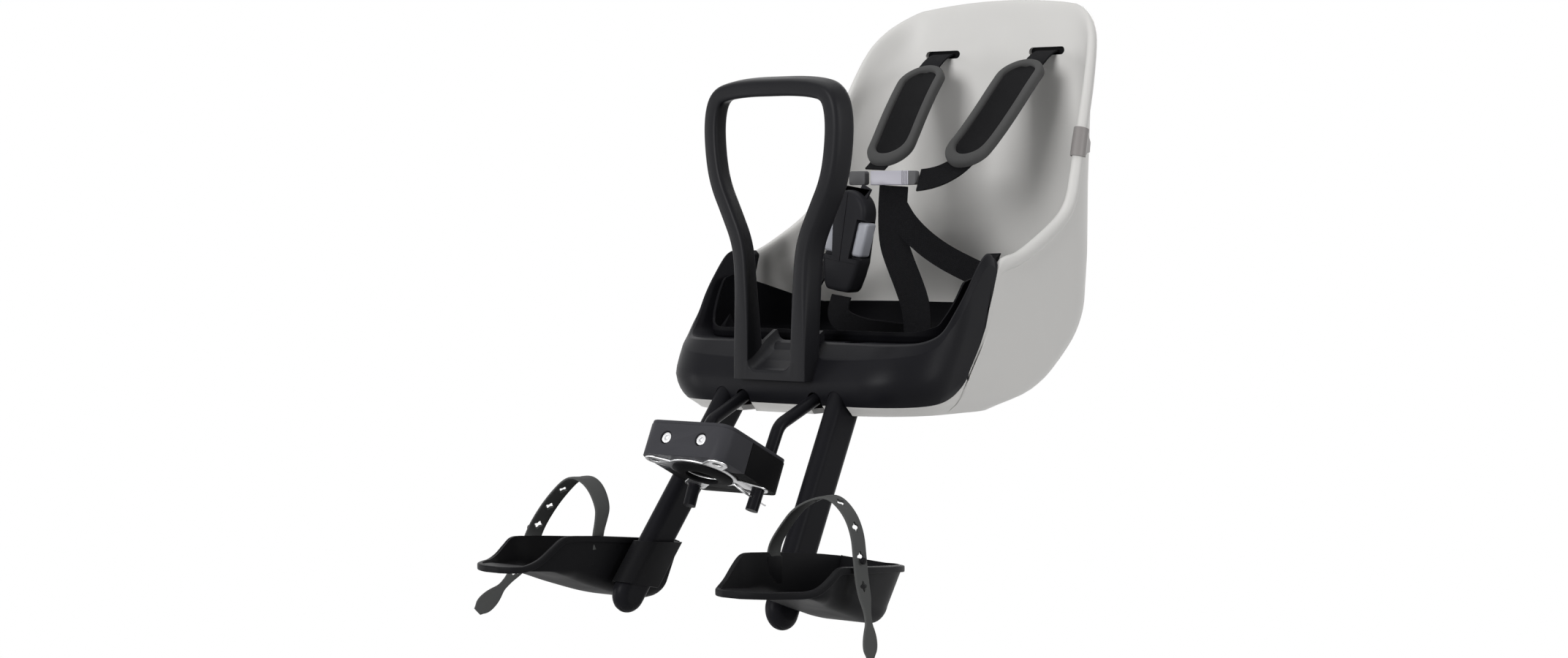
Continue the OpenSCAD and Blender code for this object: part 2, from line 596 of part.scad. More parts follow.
// Pads lie on the front of the shoulder straps, with round ends
pad_t = 7;
function pad_round(t) = let (d = min(t, 1 - t) * pad_l / (pad_w / 2))
    d < 1 ? max(0.12, sqrt(1 - pow(1 - d, 2))) : 1;
pad_lift = unit([0, -0.62, 0.78]) * (pad_t + webbing_t + 0.6) / 2;
module shoulder_pad(line) color([0.4, 0.4, 0.4]) seat() {
    n = len(line) - 1;
    translate(pad_lift) sweep(line, bar_section(pad_t, pad_w), [1, 0, 0],
                              [for (i = [0 : n]) pad_round(i / n)]);
}
module shoulder_pad_left() shoulder_pad(pad_left);
module shoulder_pad_right() shoulder_pad(pad_right);

// Metal anchor plate that each shoulder strap is looped over behind the backrest
anchor_size = [slot_w + 8, 3, 16];
module strap_anchor(side) color([0.6, 0.6, 0.62]) seat()
    translate([side * slot_pitch / 2, back_y(slot_z - 12), slot_z - 12]) rotate([-10.3, 0, 0])
        translate([-anchor_size.x / 2, 0.5, -anchor_size.z / 2]) cube(anchor_size);
module strap_anchor_left() strap_anchor(-1);
module strap_anchor_right() strap_anchor(1);

// Chest clip and the sliders on either side of it
clip_at = [-18, 200, 224.5];
clip_size = [34, 9, 14.5];
module rounded_box(size, r) {
    hull() for (x = [-1, 1], z = [-1, 1])
        translate([x * (size.x / 2 - r), 0, z * (size.z / 2 - r)])
            rotate([90, 0, 0]) cylinder(r = r, h = size.y, center = true, $fn = 16);
}
module chest_clip() color([0.77, 0.76, 0.81]) seat() translate(clip_at)
    rounded_box(clip_size, 2);
module strap_slider(x) color([0.4, 0.4, 0.41]) seat() translate([x, clip_at.y, clip_at.z])
    difference() {
        rounded_box([20, 8, 14], 2.5);
        cube([12, 3, 30], center = true);
    }
module strap_slider_left() strap_slider(clip_at.x - clip_size.x / 2 - 17);
module strap_slider_right() strap_slider(clip_at.x + clip_size.x / 2 + 11);

// Buckle: a flat housing with an arched top, a button in a pocket on either side
buckle_at = [-56, 184, 158];
buckle_lean = 9;
buckle_w = 44;
buckle_h = 100;
buckle_t = 24;
button_w = 13;
button_h = 32;
button_t = 14;
button_gap = 0.4;
button_z = 6;
module buckle() { seat() translate(buckle_at) rotate([0, buckle_lean, 0]) children(); }
module buckle_body() color([0.09, 0.09, 0.1]) buckle() difference() {
    rotate([90, 0, 0]) linear_extrude(buckle_t, center = true) {
        translate([0, buckle_h / 2 - buckle_w / 2]) circle(buckle_w / 2);
        translate([-buckle_w / 2, -buckle_h * 0.2]) square([buckle_w, buckle_h * 0.7 - buckle_w / 2]);
        polygon([[-buckle_w / 2, -buckle_h * 0.2], [-buckle_w / 2 + 7, -buckle_h / 2],
                 [buckle_w / 2 - 7, -buckle_h / 2], [buckle_w / 2, -buckle_h * 0.2]]);
    }
    both_sides() translate([buckle_w / 2 - button_w / 2 + 1, 0, button_z])
        cube([button_w + 2, button_t + 2 * button_gap, button_h + 2 * button_gap], center = true);
    both_sides() tongue(0.2);
}
module tongue(grow = 0) {
    translate([11, 0, buckle_h / 2 - 5]) rotate([0, 20, 0])
        cube([12 + 2 * grow, 3 + 2 * grow, 34 + 2 * grow], center = true);
}
module buckle_button(side) color([0.6, 0.6, 0.64]) buckle()
    translate([side * (buckle_w / 2 - button_w / 2 + button_travel), 0, button_z])
        rotate([90, 0, 0]) linear_extrude(button_t, center = true) mirror_if(side < 0) {
            translate([-button_w / 2, -button_h / 2]) square([button_w - 3, button_h]);
            translate([-button_w / 2, -button_h / 2 + 3]) square([button_w, button_h - 6]);
            for (s = [-1, 1]) translate([button_w / 2 - 3, s * (button_h / 2 - 3)]) circle(3);
        }
module buckle_button_left() buckle_button(-1);
module buckle_button_right() buckle_button(1);
module buckle_tongues() color([0.12, 0.12, 0.13]) buckle() both_sides() tongue();

// Clip on the rim of the wing, with a tapering tail on the outside
wing_part = [for (p = bead_half) if (p.z > 244 && p.z < 276) p];
wing_long = [for (p = bead_half) if (p.z > 225 && p.z < 292) p];
module wing_clip(side) color([0.58, 0.56, 0.56]) mirror_if(side < 0) seat() {
    difference() {
        sweep(wing_part, round_bar(rim_bead_r + 2), [1, 0, 0]);
        sweep(wing_long, round_bar(rim_bead_r + 0.05), [1, 0, 0]);
        intersection() {
            rotate([90, 0, 0]) linear_extrude(800, center = true)
                polygon([[half_w(230) + 0.3, 230], [half_w(290) + 0.3, 290],
                         [half_w(290) - shell_wall - 0.3, 290],
                         [half_w(230) - shell_wall - 0.3, 230]]);
            side_prism([for (k = [0, 12]) each [for (p = k == 0 ? wing_long :
                [for (i = [len(wing_long) - 1 : -1 : 0]) wing_long[i]]) [p.y + k, p.z]]]);
        }
    }
    translate([half_w(245) + 1, 0, 0]) rotate([90, 0, 90]) linear_extrude(1.8) hull() {
        translate([291, 256]) circle(7);
        translate([298, 226]) circle(1.2);
    }
}
module wing_clip_left() wing_clip(-1);
module wing_clip_right() wing_clip(1);

seat_shell();
base_frame();
seat_liner();
grab_handle();
mounting_fork();
fork_clamp();
leg_left();
leg_right();
footrest_left();
footrest_right();
foot_strap_left();
foot_strap_right();
strap_stud_left();
strap_stud_right();
block_body();
block_front();
block_cover();
stem_bush();
lower_plate();
clamp_bolts();
clamp_nuts();
retaining_clip();
shoulder_strap_left();
shoulder_strap_right();
shoulder_pad_left();
shoulder_pad_right();
chest_clip();
strap_slider_left();
strap_slider_right();
buckle_body();
buckle_button_left();
buckle_button_right();
buckle_tongues();
crotch_strap();
hip_strap_left();
hip_strap_right();
adjuster_strap();
strap_anchor_left();
strap_anchor_right();
wing_clip_left();
wing_clip_right();
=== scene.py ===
import math

import bmesh
import bpy
from mathutils import Matrix, Vector


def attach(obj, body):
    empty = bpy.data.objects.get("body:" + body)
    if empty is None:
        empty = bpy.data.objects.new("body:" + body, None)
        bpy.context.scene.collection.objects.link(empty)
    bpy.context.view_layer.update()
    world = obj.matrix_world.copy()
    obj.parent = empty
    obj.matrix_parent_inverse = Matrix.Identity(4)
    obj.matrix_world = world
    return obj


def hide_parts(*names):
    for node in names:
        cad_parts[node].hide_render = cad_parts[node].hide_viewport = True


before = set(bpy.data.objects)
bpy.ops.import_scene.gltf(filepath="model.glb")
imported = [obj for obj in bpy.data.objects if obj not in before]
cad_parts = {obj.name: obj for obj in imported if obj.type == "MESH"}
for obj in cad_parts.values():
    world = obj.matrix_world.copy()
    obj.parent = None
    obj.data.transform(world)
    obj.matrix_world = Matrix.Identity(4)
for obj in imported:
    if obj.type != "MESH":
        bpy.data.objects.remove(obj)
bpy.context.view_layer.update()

MM = 0.001
# Seat pieces are laid out in millimetres from the bucket's front bottom edge,
# block pieces from the middle of the stem bore
SEAT = Vector((0, 103, 32))
STEM_TILT = math.radians(25)

# ---------------------------------------------------------------- camera and light
EYE = Vector((1.679, -2.036, 0.226))
AZIMUTH, PITCH = math.radians(38), math.radians(2.404456)


def make_camera():
    data = bpy.data.cameras.new("camera")
    camera = bpy.data.objects.new("camera", data)
    bpy.context.scene.collection.objects.link(camera)
    forward = Vector((-math.sin(AZIMUTH) * math.cos(PITCH),
                      math.cos(AZIMUTH) * math.cos(PITCH), -math.sin(PITCH)))
    camera.location = EYE
    camera.rotation_mode = "QUATERNION"
    camera.rotation_quaternion = forward.to_track_quat("-Z", "Y")
    data.sensor_fit = "HORIZONTAL"
    data.sensor_width, data.lens = 36, 65.949
    data.clip_start, data.clip_end = 0.05, 60
    bpy.context.scene.camera = camera


def area_light(name, place, target, size, power):
    data = bpy.data.lights.new(name, "AREA")
    data.shape, data.size, data.size_y = "RECTANGLE", size[0], size[1]
    data.energy = power
    lamp = bpy.data.objects.new(name, data)
    bpy.context.scene.collection.objects.link(lamp)
    lamp.location = place
    lamp.rotation_mode = "QUATERNION"
    lamp.rotation_quaternion = (Vector(target) - Vector(place)).to_track_quat("-Z", "Y")


make_camera()
area_light("key softbox", (0.1, -3.0, 1.0), (0, 0.15, 0.1), (1.5, 1.5), 72)
area_light("left strip", (-2.2, -1.5, -0.1), (0, 0, 0.05), (0.35, 1.2), 15)
area_light("top softbox", (-0.2, 0.1, 2.7), (0, 0.2, 0.1), (2.4, 2.4), 26)
area_light("side softbox", (2.9, 0.5, 0.8), (0.1, 0.3, 0.1), (0.7, 1.6), 30)
area_light("back softbox", (-0.6, 3.0, 1.3), (0, 0.2, 0.1), (1.5, 1.5), 32)

bpy.context.scene.view_settings.view_transform = "Standard"


# ---------------------------------------------------------------- mesh helpers
def new_object(name, bm, smooth=True):
    mesh = bpy.data.meshes.new(name)
    bm.to_mesh(mesh)
    bm.free()
    piece = bpy.data.objects.new(name, mesh)
    bpy.context.scene.collection.objects.link(piece)
    for face in mesh.polygons:
        face.use_smooth = smooth
    return piece


def settle(piece):
    """The piece keeps its shape with its modifiers applied."""
    graph = bpy.context.evaluated_depsgraph_get()
    mesh = bpy.data.meshes.new_from_object(piece.evaluated_get(graph))
    piece.modifiers.clear()
    old = piece.data
    piece.data = mesh
    bpy.data.meshes.remove(old)
    return piece


def outward(bm):
    bmesh.ops.recalc_face_normals(bm, faces=bm.faces)
    if bm.calc_volume(signed=True) < 0:
        bmesh.ops.reverse_faces(bm, faces=bm.faces)


def surface(columns, rows, place, uv=None):
    """A sheet of columns by rows faces, each corner put where place(u, v) says, in mm.
    uv gives the sheet's width and length in mm for a woven pattern."""
    bm = bmesh.new()
    bmesh.ops.create_grid(bm, x_segments=columns, y_segments=rows, size=0.5)
    spots = {v: (v.co.x + 0.5, v.co.y + 0.5) for v in bm.verts}
    if uv:
        layer = bm.loops.layers.uv.new("weave")
        for face in bm.faces:
            for loop in face.loops:
                u, v = spots[loop.vert]
                loop[layer].uv = (u * uv[0] * MM, v * uv[1] * MM)
    for v, (a, b) in spots.items():
        v.co = Vector(place(min(max(a, 0), 1), min(max(b, 0), 1))) * MM
    bmesh.ops.remove_doubles(bm, verts=bm.verts, dist=0.02 * MM)
    return bm


def close_holes(bm):
    edges = [e for e in bm.edges if e.is_boundary]
    if edges:
        bmesh.ops.holes_fill(bm, edges=edges, sides=0)


def join(*parts):
    """One bmesh out of several."""
    whole = parts[0]
    for part in parts[1:]:
        mesh = bpy.data.meshes.new("part")
        part.to_mesh(mesh)
        part.free()
        whole.from_mesh(mesh)
        bpy.data.meshes.remove(mesh)
    return whole


def discard(piece):
    mesh = piece.data
    bpy.data.objects.remove(piece)
    bpy.data.meshes.remove(mesh)


def cut(piece, *cutters):
    """Takes the cutters, which are bmeshes, out of the piece."""
    for bm in cutters:
        outward(bm)
        cutter = new_object("cutter", bm, smooth=False)
        modifier = piece.modifiers.new("cut", "BOOLEAN")
        modifier.operation, modifier.object, modifier.solver = "DIFFERENCE", cutter, "MANIFOLD"
        settle(piece)
        discard(cutter)
    return piece


def thicken(piece, wall, offset=-1):
    modifier = piece.modifiers.new("wall", "SOLIDIFY")
    modifier.thickness, modifier.offset = wall * MM, offset
    modifier.use_even_offset = True
    return settle(piece)


def soften(piece, width, angle=32):
    """Rounds the sharp edges a little and shades the rest smoothly."""
    modifier = piece.modifiers.new("edges", "BEVEL")
    modifier.width, modifier.segments = width * MM, 2
    modifier.limit_method, modifier.angle_limit = "ANGLE", math.radians(angle)
    modifier.harden_normals = True
    modifier.use_clamp_overlap = True
    return piece


def keep_sharp(piece, degrees):
    """Edges that turn more than this stay sharp in the shading."""
    piece.data.set_sharp_from_angle(angle=math.radians(degrees))


def box(low, high):
    """A plain block as a bmesh, for cutting with."""
    bm = bmesh.new()
    bmesh.ops.create_cube(bm, size=1)
    low, high = Vector(low), Vector(high)
    bmesh.ops.scale(bm, vec=(high - low) * MM, verts=bm.verts)
    bmesh.ops.translate(bm, vec=(high + low) / 2 * MM, verts=bm.verts)
    return bm


def rounded(bm, radius, segments):
    """A block with all its edges rounded."""
    bmesh.ops.bevel(bm, geom=list(bm.edges), offset=radius * MM, segments=segments, profile=0.5,
                    affect="EDGES", material=-1)
    return bm


def rod_between(start, end, radius, segments):
    """A straight cylinder as a bmesh, in mm."""
    start, end = Vector(start), Vector(end)
    bm = bmesh.new()
    bmesh.ops.create_cone(bm, cap_ends=True, segments=segments, radius1=radius * MM,
                          radius2=radius * MM, depth=(end - start).length * MM)
    turn = (end - start).to_track_quat("Z", "Y").to_matrix().to_4x4()
    bmesh.ops.transform(bm, matrix=Matrix.Translation((start + end) / 2 * MM) @ turn,
                        verts=bm.verts)
    return bm


def mirror(bm):
    """The same shape on the other side."""
    bmesh.ops.scale(bm, vec=(-1, 1, 1), verts=bm.verts)
    bmesh.ops.reverse_faces(bm, faces=bm.faces)
    return bm


# ---------------------------------------------------------------- lines and outlines
def lerp(a, b, t):
    return a + (b - a) * t


def table(z, rows):
    """The value at z in a table of (z, value) rows."""
    if z <= rows[0][0]:
        return rows[0][1]
    for (z0, a), (z1, b) in zip(rows, rows[1:]):
        if z <= z1:
            return lerp(a, b, (z - z0) / (z1 - z0))
    return rows[-1][1]


def smooth_line(points):
    """Corner cutting of an open line that keeps its ends."""
    points = [Vector(p) for p in points]
    for _ in range(3):
        line = [points[0]]
        for a, b in zip(points, points[1:]):
            line += [a.lerp(b, 0.25), a.lerp(b, 0.75)]
        points = line + [points[-1]]
    return points


def filleted(points, radius, steps=10):
    """A line with its inner corners rounded to a radius."""
    points = [Vector(p) for p in points]
    line = [points[0]]
    for a, b, c in zip(points, points[1:], points[2:]):
        into, away = (a - b).normalized(), (c - b).normalized()
        half = into.angle(away) / 2
        back = min(radius / math.tan(half), (a - b).length * 0.45, (c - b).length * 0.45)
        line += [(b + into * back * (1 - t) ** 2 + away * back * t ** 2)
                 for t in (i / steps for i in range(steps + 1))]
    return line + [points[-1]]


class Path:
    """A line that can be asked for its place and direction at a share of its length."""

    def __init__(self, points):
        self.points = [Vector(p) for p in points]
        self.reach = [0.0]
        for a, b in zip(self.points, self.points[1:]):
            self.reach.append(self.reach[-1] + (b - a).length)
        self.length = self.reach[-1]

    def place(self, t):
        target = min(max(t, 0), 1) * self.length
        low, high = 0, len(self.reach) - 1
        while high - low > 1:
            mid = (low + high) // 2
            if self.reach[mid] <= target:
                low = mid
            else:
                high = mid
        span = self.reach[high] - self.reach[low]
        share = (target - self.reach[low]) / span if span else 0
        return self.points[low].lerp(self.points[high], share)

    def direction(self, t, step=0.01):
        return (self.place(t + step) - self.place(t - step)).normalized()


def ring_on(path, t, across, x, y):
    """A point beside the path: y along across, x square to it."""
    forward = path.direction(t)
    side = Vector(across).cross(forward).normalized()
    return path.place(t) + side * x + forward.cross(side) * y


def tube(path, section, across, columns, rows):
    """A closed section carried along a path; section(a, t) gives (x, y) at a share a of its
    turn and a share t of the path."""
    def place(u, v):
        x, y = section(u, v)
        a = across(v) if callable(across) else across
        return ring_on(path, v, a, x, y)
    bm = surface(columns, rows, place)
    close_holes(bm)
    outward(bm)
    return bm


def soft_box(a, width, depth, power):
    """A rounded rectangle; width along x, depth along y."""
    c, s = math.cos(a * math.tau), math.sin(a * math.tau)
    return (width / 2 * math.copysign(abs(c) ** power, c),
            depth / 2 * math.copysign(abs(s) ** power, s))


def smoothstep(low, high, x):
    t = min(max((x - low) / (high - low), 0), 1)
    return t * t * (3 - 2 * t)


# ---------------------------------------------------------------- materials
def node(tree, kind, inputs=(), **settings):
    """A shader node; each input takes a number, a colour or another node's output."""
    made = tree.nodes.new(kind)
    for key, value in settings.items():
        setattr(made, key, value)
    for key, value in dict(inputs).items():
        if isinstance(value, bpy.types.NodeSocket):
            tree.links.new(value, made.inputs[key])
        else:
            made.inputs[key].default_value = value
    return made


def reckon(tree, operation, *inputs):
    return node(tree, "ShaderNodeMath", enumerate(inputs), operation=operation).outputs["Value"]


def noise(tree, where, scale, detail=2):
    return node(tree, "ShaderNodeTexNoise",
                {"Vector": where, "Scale": scale, "Detail": detail}).outputs["Fac"]


def mapped(tree, value, to, since=(0, 1), **settings):
    """A value with its range stretched to another one."""
    return node(tree, "ShaderNodeMapRange",
                {"Value": value, "From Min": since[0], "From Max": since[1],
                 "To Min": to[0], "To Max": to[1]}, **settings).outputs["Result"]


def blended(tree, share, a, b, **settings):
    return node(tree, "ShaderNodeMix", {"Factor": share, "A": a, "B": b}, data_type="RGBA",
                **settings).outputs["Result"]


def bumps(tree, height, strength, distance):
    return node(tree, "ShaderNodeBump", {"Height": height, "Strength": strength,
                                         "Distance": distance}).outputs["Normal"]


def open_group(name, inputs):
    """A node group for a kind of surface, and what its inputs and its place give."""
    tree = bpy.data.node_groups.new(name, "ShaderNodeTree")
    for label, value in inputs.items():
        kind = "NodeSocketColor" if isinstance(value, tuple) else "NodeSocketFloat"
        tree.interface.new_socket(label, in_out="INPUT", socket_type=kind).default_value = value
    for label, kind in (("Colour", "Color"), ("Roughness", "Float"), ("Normal", "Vector")):
        tree.interface.new_socket(label, in_out="OUTPUT", socket_type="NodeSocket" + kind)
    return tree, node(tree, "NodeGroupInput").outputs, node(tree, "ShaderNodeTexCoord").outputs


def close_group(tree, colour, roughness, normal):
    node(tree, "NodeGroupOutput", {"Colour": colour, "Roughness": roughness, "Normal": normal})
    return tree


def make_moulded_grain():
    """Fine spark-eroded grain and faint mottling of moulded plastic."""
    tree, given, where = open_group("moulded grain", {
        "Colour": (0.5, 0.5, 0.5, 1), "Roughness": 0.45, "Grain scale": 1800.0,
        "Grain depth": 0.05, "Mottle": 0.06})
    grain = noise(tree, where["Object"], given["Grain scale"], 3)
    cloud = noise(tree, where["Object"], 22, 4)
    shade = mapped(tree, cloud, (0.86, 1), (0.3, 0.7))
    colour = blended(tree, given["Mottle"], given["Colour"], shade, blend_type="MULTIPLY")
    rough = reckon(tree, "ADD", mapped(tree, cloud, (-0.05, 0.06), (0.3, 0.7)), given["Roughness"])
    return close_group(tree, colour, rough, bumps(tree, grain, given["Grain depth"], 0.0004))


def make_woven_band():
    """Webbing: two sets of slanting threads that cross, with fine fuzz on them."""
    tree, given, where = open_group("woven band", {
        "Colour": (0.02, 0.02, 0.02, 1), "Lit thread": (0.09, 0.09, 0.095, 1),
        "Pitch": 0.0016, "Depth": 0.6})
    spot = node(tree, "ShaderNodeSeparateXYZ", {"Vector": where["UV"]}).outputs

    def threads(slant):
        way = reckon(tree, "MULTIPLY_ADD", spot["X"], slant, spot["Y"])
        turns = reckon(tree, "DIVIDE", way, given["Pitch"])
        sine = reckon(tree, "SINE", reckon(tree, "MULTIPLY", turns, math.tau))
        return reckon(tree, "MULTIPLY_ADD", sine, 0.5, 0.5)

    weave = reckon(tree, "MAXIMUM", threads(1.0), threads(-1.0))
    fuzz = noise(tree, where["Object"], 900, 4)
    cloud = noise(tree, where["Object"], 60)
    colour = blended(tree, reckon(tree, "MULTIPLY", weave, fuzz), given["Colour"],
                     given["Lit thread"])
    height = reckon(tree, "ADD", weave, fuzz)
    return close_group(tree, colour, mapped(tree, cloud, (0.75, 0.95)),
                       bumps(tree, height, given["Depth"], 0.0004))


def make_brushed_face():
    """Fine drawn lines and cloudy tone of plated steel."""
    tree, given, where = open_group("plated face", {"Colour": (0.6, 0.6, 0.6, 1),
                                                    "Roughness": 0.3})
    stretch = node(tree, "ShaderNodeMapping", {"Vector": where["Object"],
                                               "Scale": (300, 2600, 2600)})
    lines = noise(tree, stretch.outputs["Vector"], 1, 3)
    tone = mapped(tree, noise(tree, where["Object"], 90, 5), (0.72, 1.1))
    colour = blended(tree, 1, given["Colour"], tone, blend_type="MULTIPLY")
    rough = reckon(tree, "MULTIPLY_ADD", lines, 0.2, given["Roughness"])
    return close_group(tree, colour, rough, bumps(tree, lines, 0.12, 0.0002))


MOULDED = make_moulded_grain()
WOVEN = make_woven_band()
PLATED = make_brushed_face()


def material(name, group, settings, **shader):
    made = bpy.data.materials.new(name)
    made.use_nodes = True
    tree = made.node_tree
    inputs = tree.nodes["Principled BSDF"].inputs
    effect = node(tree, "ShaderNodeGroup", node_tree=group)
    for key, value in settings.items():
        effect.inputs[key].default_value = value
    for given, taken in (("Colour", "Base Color"), ("Roughness", "Roughness"),
                         ("Normal", "Normal")):
        tree.links.new(effect.outputs[given], inputs[taken])
    for key, value in shader.items():
        inputs[key.replace("_", " ")].default_value = value
    return made


def plastic(name, colour, roughness, grain, depth, mottle, **shader):
    return material(name, MOULDED, {"Colour": (*colour, 1), "Roughness": roughness,
                                    "Grain scale": grain, "Grain depth": depth,
                                    "Mottle": mottle}, **shader)


# Dark plastics throw back less light than the pale ones
DULL = {"Specular_IOR_Level": 0.045}

SHELL_WHITE = plastic("shell white plastic", (0.68, 0.672, 0.655), 0.5, 1500, 0.10, 0.15)
DARK_PLASTIC = plastic("frame dark plastic", (0.009, 0.009, 0.011), 0.38, 1700, 0.12, 0.4,
                       Specular_IOR_Level=0.07)
LEG_PLASTIC = plastic("leg dark plastic", (0.010, 0.010, 0.012), 0.36, 1700, 0.10, 0.4, **DULL)
TRAY_PLASTIC = plastic("footrest dark plastic", (0.009, 0.009, 0.010), 0.44, 1600, 0.12, 0.4,
                       **DULL)
LINER_PLASTIC = plastic("pan black plastic", (0.003, 0.003, 0.004), 0.55, 1200, 0.2, 0.4, **DULL)
SOFT_GRIP = plastic("handle soft grip", (0.013, 0.013, 0.015), 0.38, 2200, 0.10, 0.3,
                    Specular_IOR_Level=0.1)
# Painted light: a lighter copy of the block's black, for its front face and cover where the light
# falls
BLOCK_PAINTED_LIT = plastic("block black with painted light", (0.050, 0.050, 0.056), 0.42, 2200, 0.15, 0.3, **DULL)
BLOCK_BLACK = plastic("block black coat", (0.005, 0.005, 0.0055), 0.55, 1600, 0.2, 0.3, **DULL)
ROD_BLACK = plastic("rod black coat", (0.010, 0.010, 0.012), 0.30, 2500, 0.06, 0.3, **DULL)
STRAP_RUBBER = plastic("foot strap rubber", (0.085, 0.087, 0.086), 0.50, 1500, 0.10, 0.3, **DULL)
PAD_RUBBER = plastic("pad grey rubber", (0.088, 0.088, 0.088), 0.62, 1300, 0.25, 0.3, **DULL)
CLIP_PALE = plastic("clip pale plastic", (0.52, 0.51, 0.575), 0.35, 2000, 0.05, 0.2)
SLIDER_GREY = plastic("slider grey plastic", (0.16, 0.16, 0.165), 0.42, 1800, 0.1, 0.3, **DULL)
BUTTON_GREY = plastic("button grey plastic", (0.36, 0.37, 0.41), 0.38, 1800, 0.08, 0.2)
BUCKLE_DARK = plastic("buckle dark plastic", (0.022, 0.022, 0.025), 0.36, 1900, 0.08, 0.3, **DULL)
RIM_CLIP_GREY = plastic("rim clip grey plastic", (0.25, 0.235, 0.23), 0.45, 1800, 0.08, 0.3)
WEBBING = material("black webbing", WOVEN, {"Colour": (0.004, 0.004, 0.0045, 1),
                                            "Lit thread": (0.030, 0.030, 0.033, 1)},
                   Sheen_Weight=0.03, Sheen_Roughness=0.5, Specular_IOR_Level=0.02)
PAD_WEAVE = material("pad woven panel", WOVEN, {"Colour": (0.005, 0.005, 0.0055, 1),
                                                "Lit thread": (0.018, 0.018, 0.020, 1),
                                                "Pitch": 0.0013},
                     Sheen_Weight=0.05, Specular_IOR_Level=0.02)
STEEL = material("bright plated steel", PLATED, {"Colour": (0.86, 0.86, 0.87, 1),
                                                 "Roughness": 0.22}, Metallic=1.0)


def dress(piece, look, replaces=(), body="seat"):
    """Finish, the CAD nodes that the piece stands for, and the body it rides on."""
    piece.data.materials.clear()
    piece.data.materials.append(look)
    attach(piece, body)
    if replaces:
        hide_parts(*replaces)
    return piece


def refined(nodes, name, look, edge, body="seat"):
    """CAD pieces taken over as they are, with their small edges broken."""
    bm = bmesh.new()
    for part in nodes:
        bm.from_mesh(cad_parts[part].data)
    bmesh.ops.remove_doubles(bm, verts=bm.verts, dist=0.005 * MM)
    bmesh.ops.dissolve_limit(bm, angle_limit=math.radians(1.2), verts=bm.verts, edges=bm.edges)
    piece = new_object(name, bm)
    soften(piece, edge)
    return dress(piece, look, nodes, body)


# ---------------------------------------------------------------- bucket outline
HALF_WIDTH, SHELL_WALL = 160, 5
SIDE = [(0, -26), (5, -16), (14, -8), (30, -2), (60, 0), (150, 0), (270, -7), (364, -13),
        (420, -20)]
FRONT = [(0, 14), (4, 7), (10, 2), (20, -1), (33, -2), (50, 6), (67, 16), (90, 28), (420, 60)]
BACK = [(0, 185), (3, 205), (9, 234), (22, 262), (50, 300), (72, 324), (95, 337), (219, 350),
        (327, 366), (371, 374), (420, 384)]
FRONT_CORNER, BACK_CORNER = 62, 68
RIM = smooth_line([(-20, 9), (36, 9), (62, 13), (80, 25), (104, 60), (126, 110), (137, 142),
                   (150, 148), (168, 150), (200, 163), (240, 182), (262, 198), (273, 220),
                   (288, 270), (312, 319), (334, 360), (352, 381), (362, 390), (370, 397),
                   (375, 401.5), (379, 404.5), (420, 405)])
# The back edge's crown: half its width and its height
CROWN_HALF, CROWN = 92, 6.5
# Strap slots and the fork's prongs: distance from the middle, and the slots' height
SLOT_X, SLOT_Z, PRONG_X = 65, 356, 42.8
LIP = 67
ARM = smooth_line([(-20, LIP), (22, LIP), (40, LIP + 3), (58, LIP + 12), (76, LIP + 36),
                   (94, LIP + 58), (112, LIP + 79), (122, LIP + 85), (131, LIP + 83),
                   (138, 141)])


def smooth_table(z, rows, reach=5):
    """A table's value averaged over a short height, so that its corners are eased."""
    return sum(table(z + d, rows) for d in (-reach, -reach / 2, 0, reach / 2, reach)) / 5


def side_height(line, y):
    return table(y, [(p.x, p.y) for p in line])


def outline(s, z, side=0, front=0, back=0):
    """A point of the bucket's plan at height z; s runs from the front's middle all round."""
    half = s * 2 if s <= 0.5 else (1 - s) * 2
    w = HALF_WIDTH + smooth_table(z, SIDE) - side
    y0, y1 = smooth_table(z, FRONT) + front, smooth_table(z, BACK, 8) - back
    rf, rb = FRONT_CORNER - min(side, front), BACK_CORNER - min(side, back)
    if half < 0.16:
        x, y = lerp(0, w - rf, half / 0.16), y0
    elif half < 0.36:
        a = math.radians(-90 + 90 * (half - 0.16) / 0.2)
        x, y = w - rf + rf * math.cos(a), y0 + rf + rf * math.sin(a)
    elif half < 0.64:
        x, y = w, lerp(y0 + rf, y1 - rb, (half - 0.36) / 0.28)
    elif half < 0.84:
        a = math.radians(90 * (half - 0.64) / 0.2)
        x, y = w - rb + rb * math.cos(a), y1 - rb + rb * math.sin(a)
    else:
        x, y = lerp(w - rb, 0, (half - 0.84) / 0.16), y1
    return Vector((x if s <= 0.5 else -x, y, z))


def rim_height(s, line=RIM, top=419):
    """Where the bucket's column at s meets a line drawn in side view."""
    low, high = 5, top
    for _ in range(22):
        mid = (low + high) / 2
        if side_height(line, outline(s, mid).y) > mid:
            low = mid
        else:
            high = mid
    return (low + high) / 2


# ---------------------------------------------------------------- building blocks
def seated(bm):
    """From the seat's own coordinates to the shared frame."""
    bmesh.ops.translate(bm, vec=SEAT * MM, verts=bm.verts)
    return bm


def on_side(bm, side):
    """A shape drawn for the right, seated there or mirrored to the left."""
    return seated(mirror(bm) if side < 0 else bm)


def side_name(side):
    return "right" if side > 0 else "left"


def face_away(bm, centre):
    """Turns an open bowl's faces away from a point inside it."""
    centre = Vector(centre) * MM
    bm.normal_update()
    total = sum(f.normal.dot(f.calc_center_median() - centre) * f.calc_area() for f in bm.faces)
    if total < 0:
        bmesh.ops.reverse_faces(bm, faces=bm.faces)
    return bm


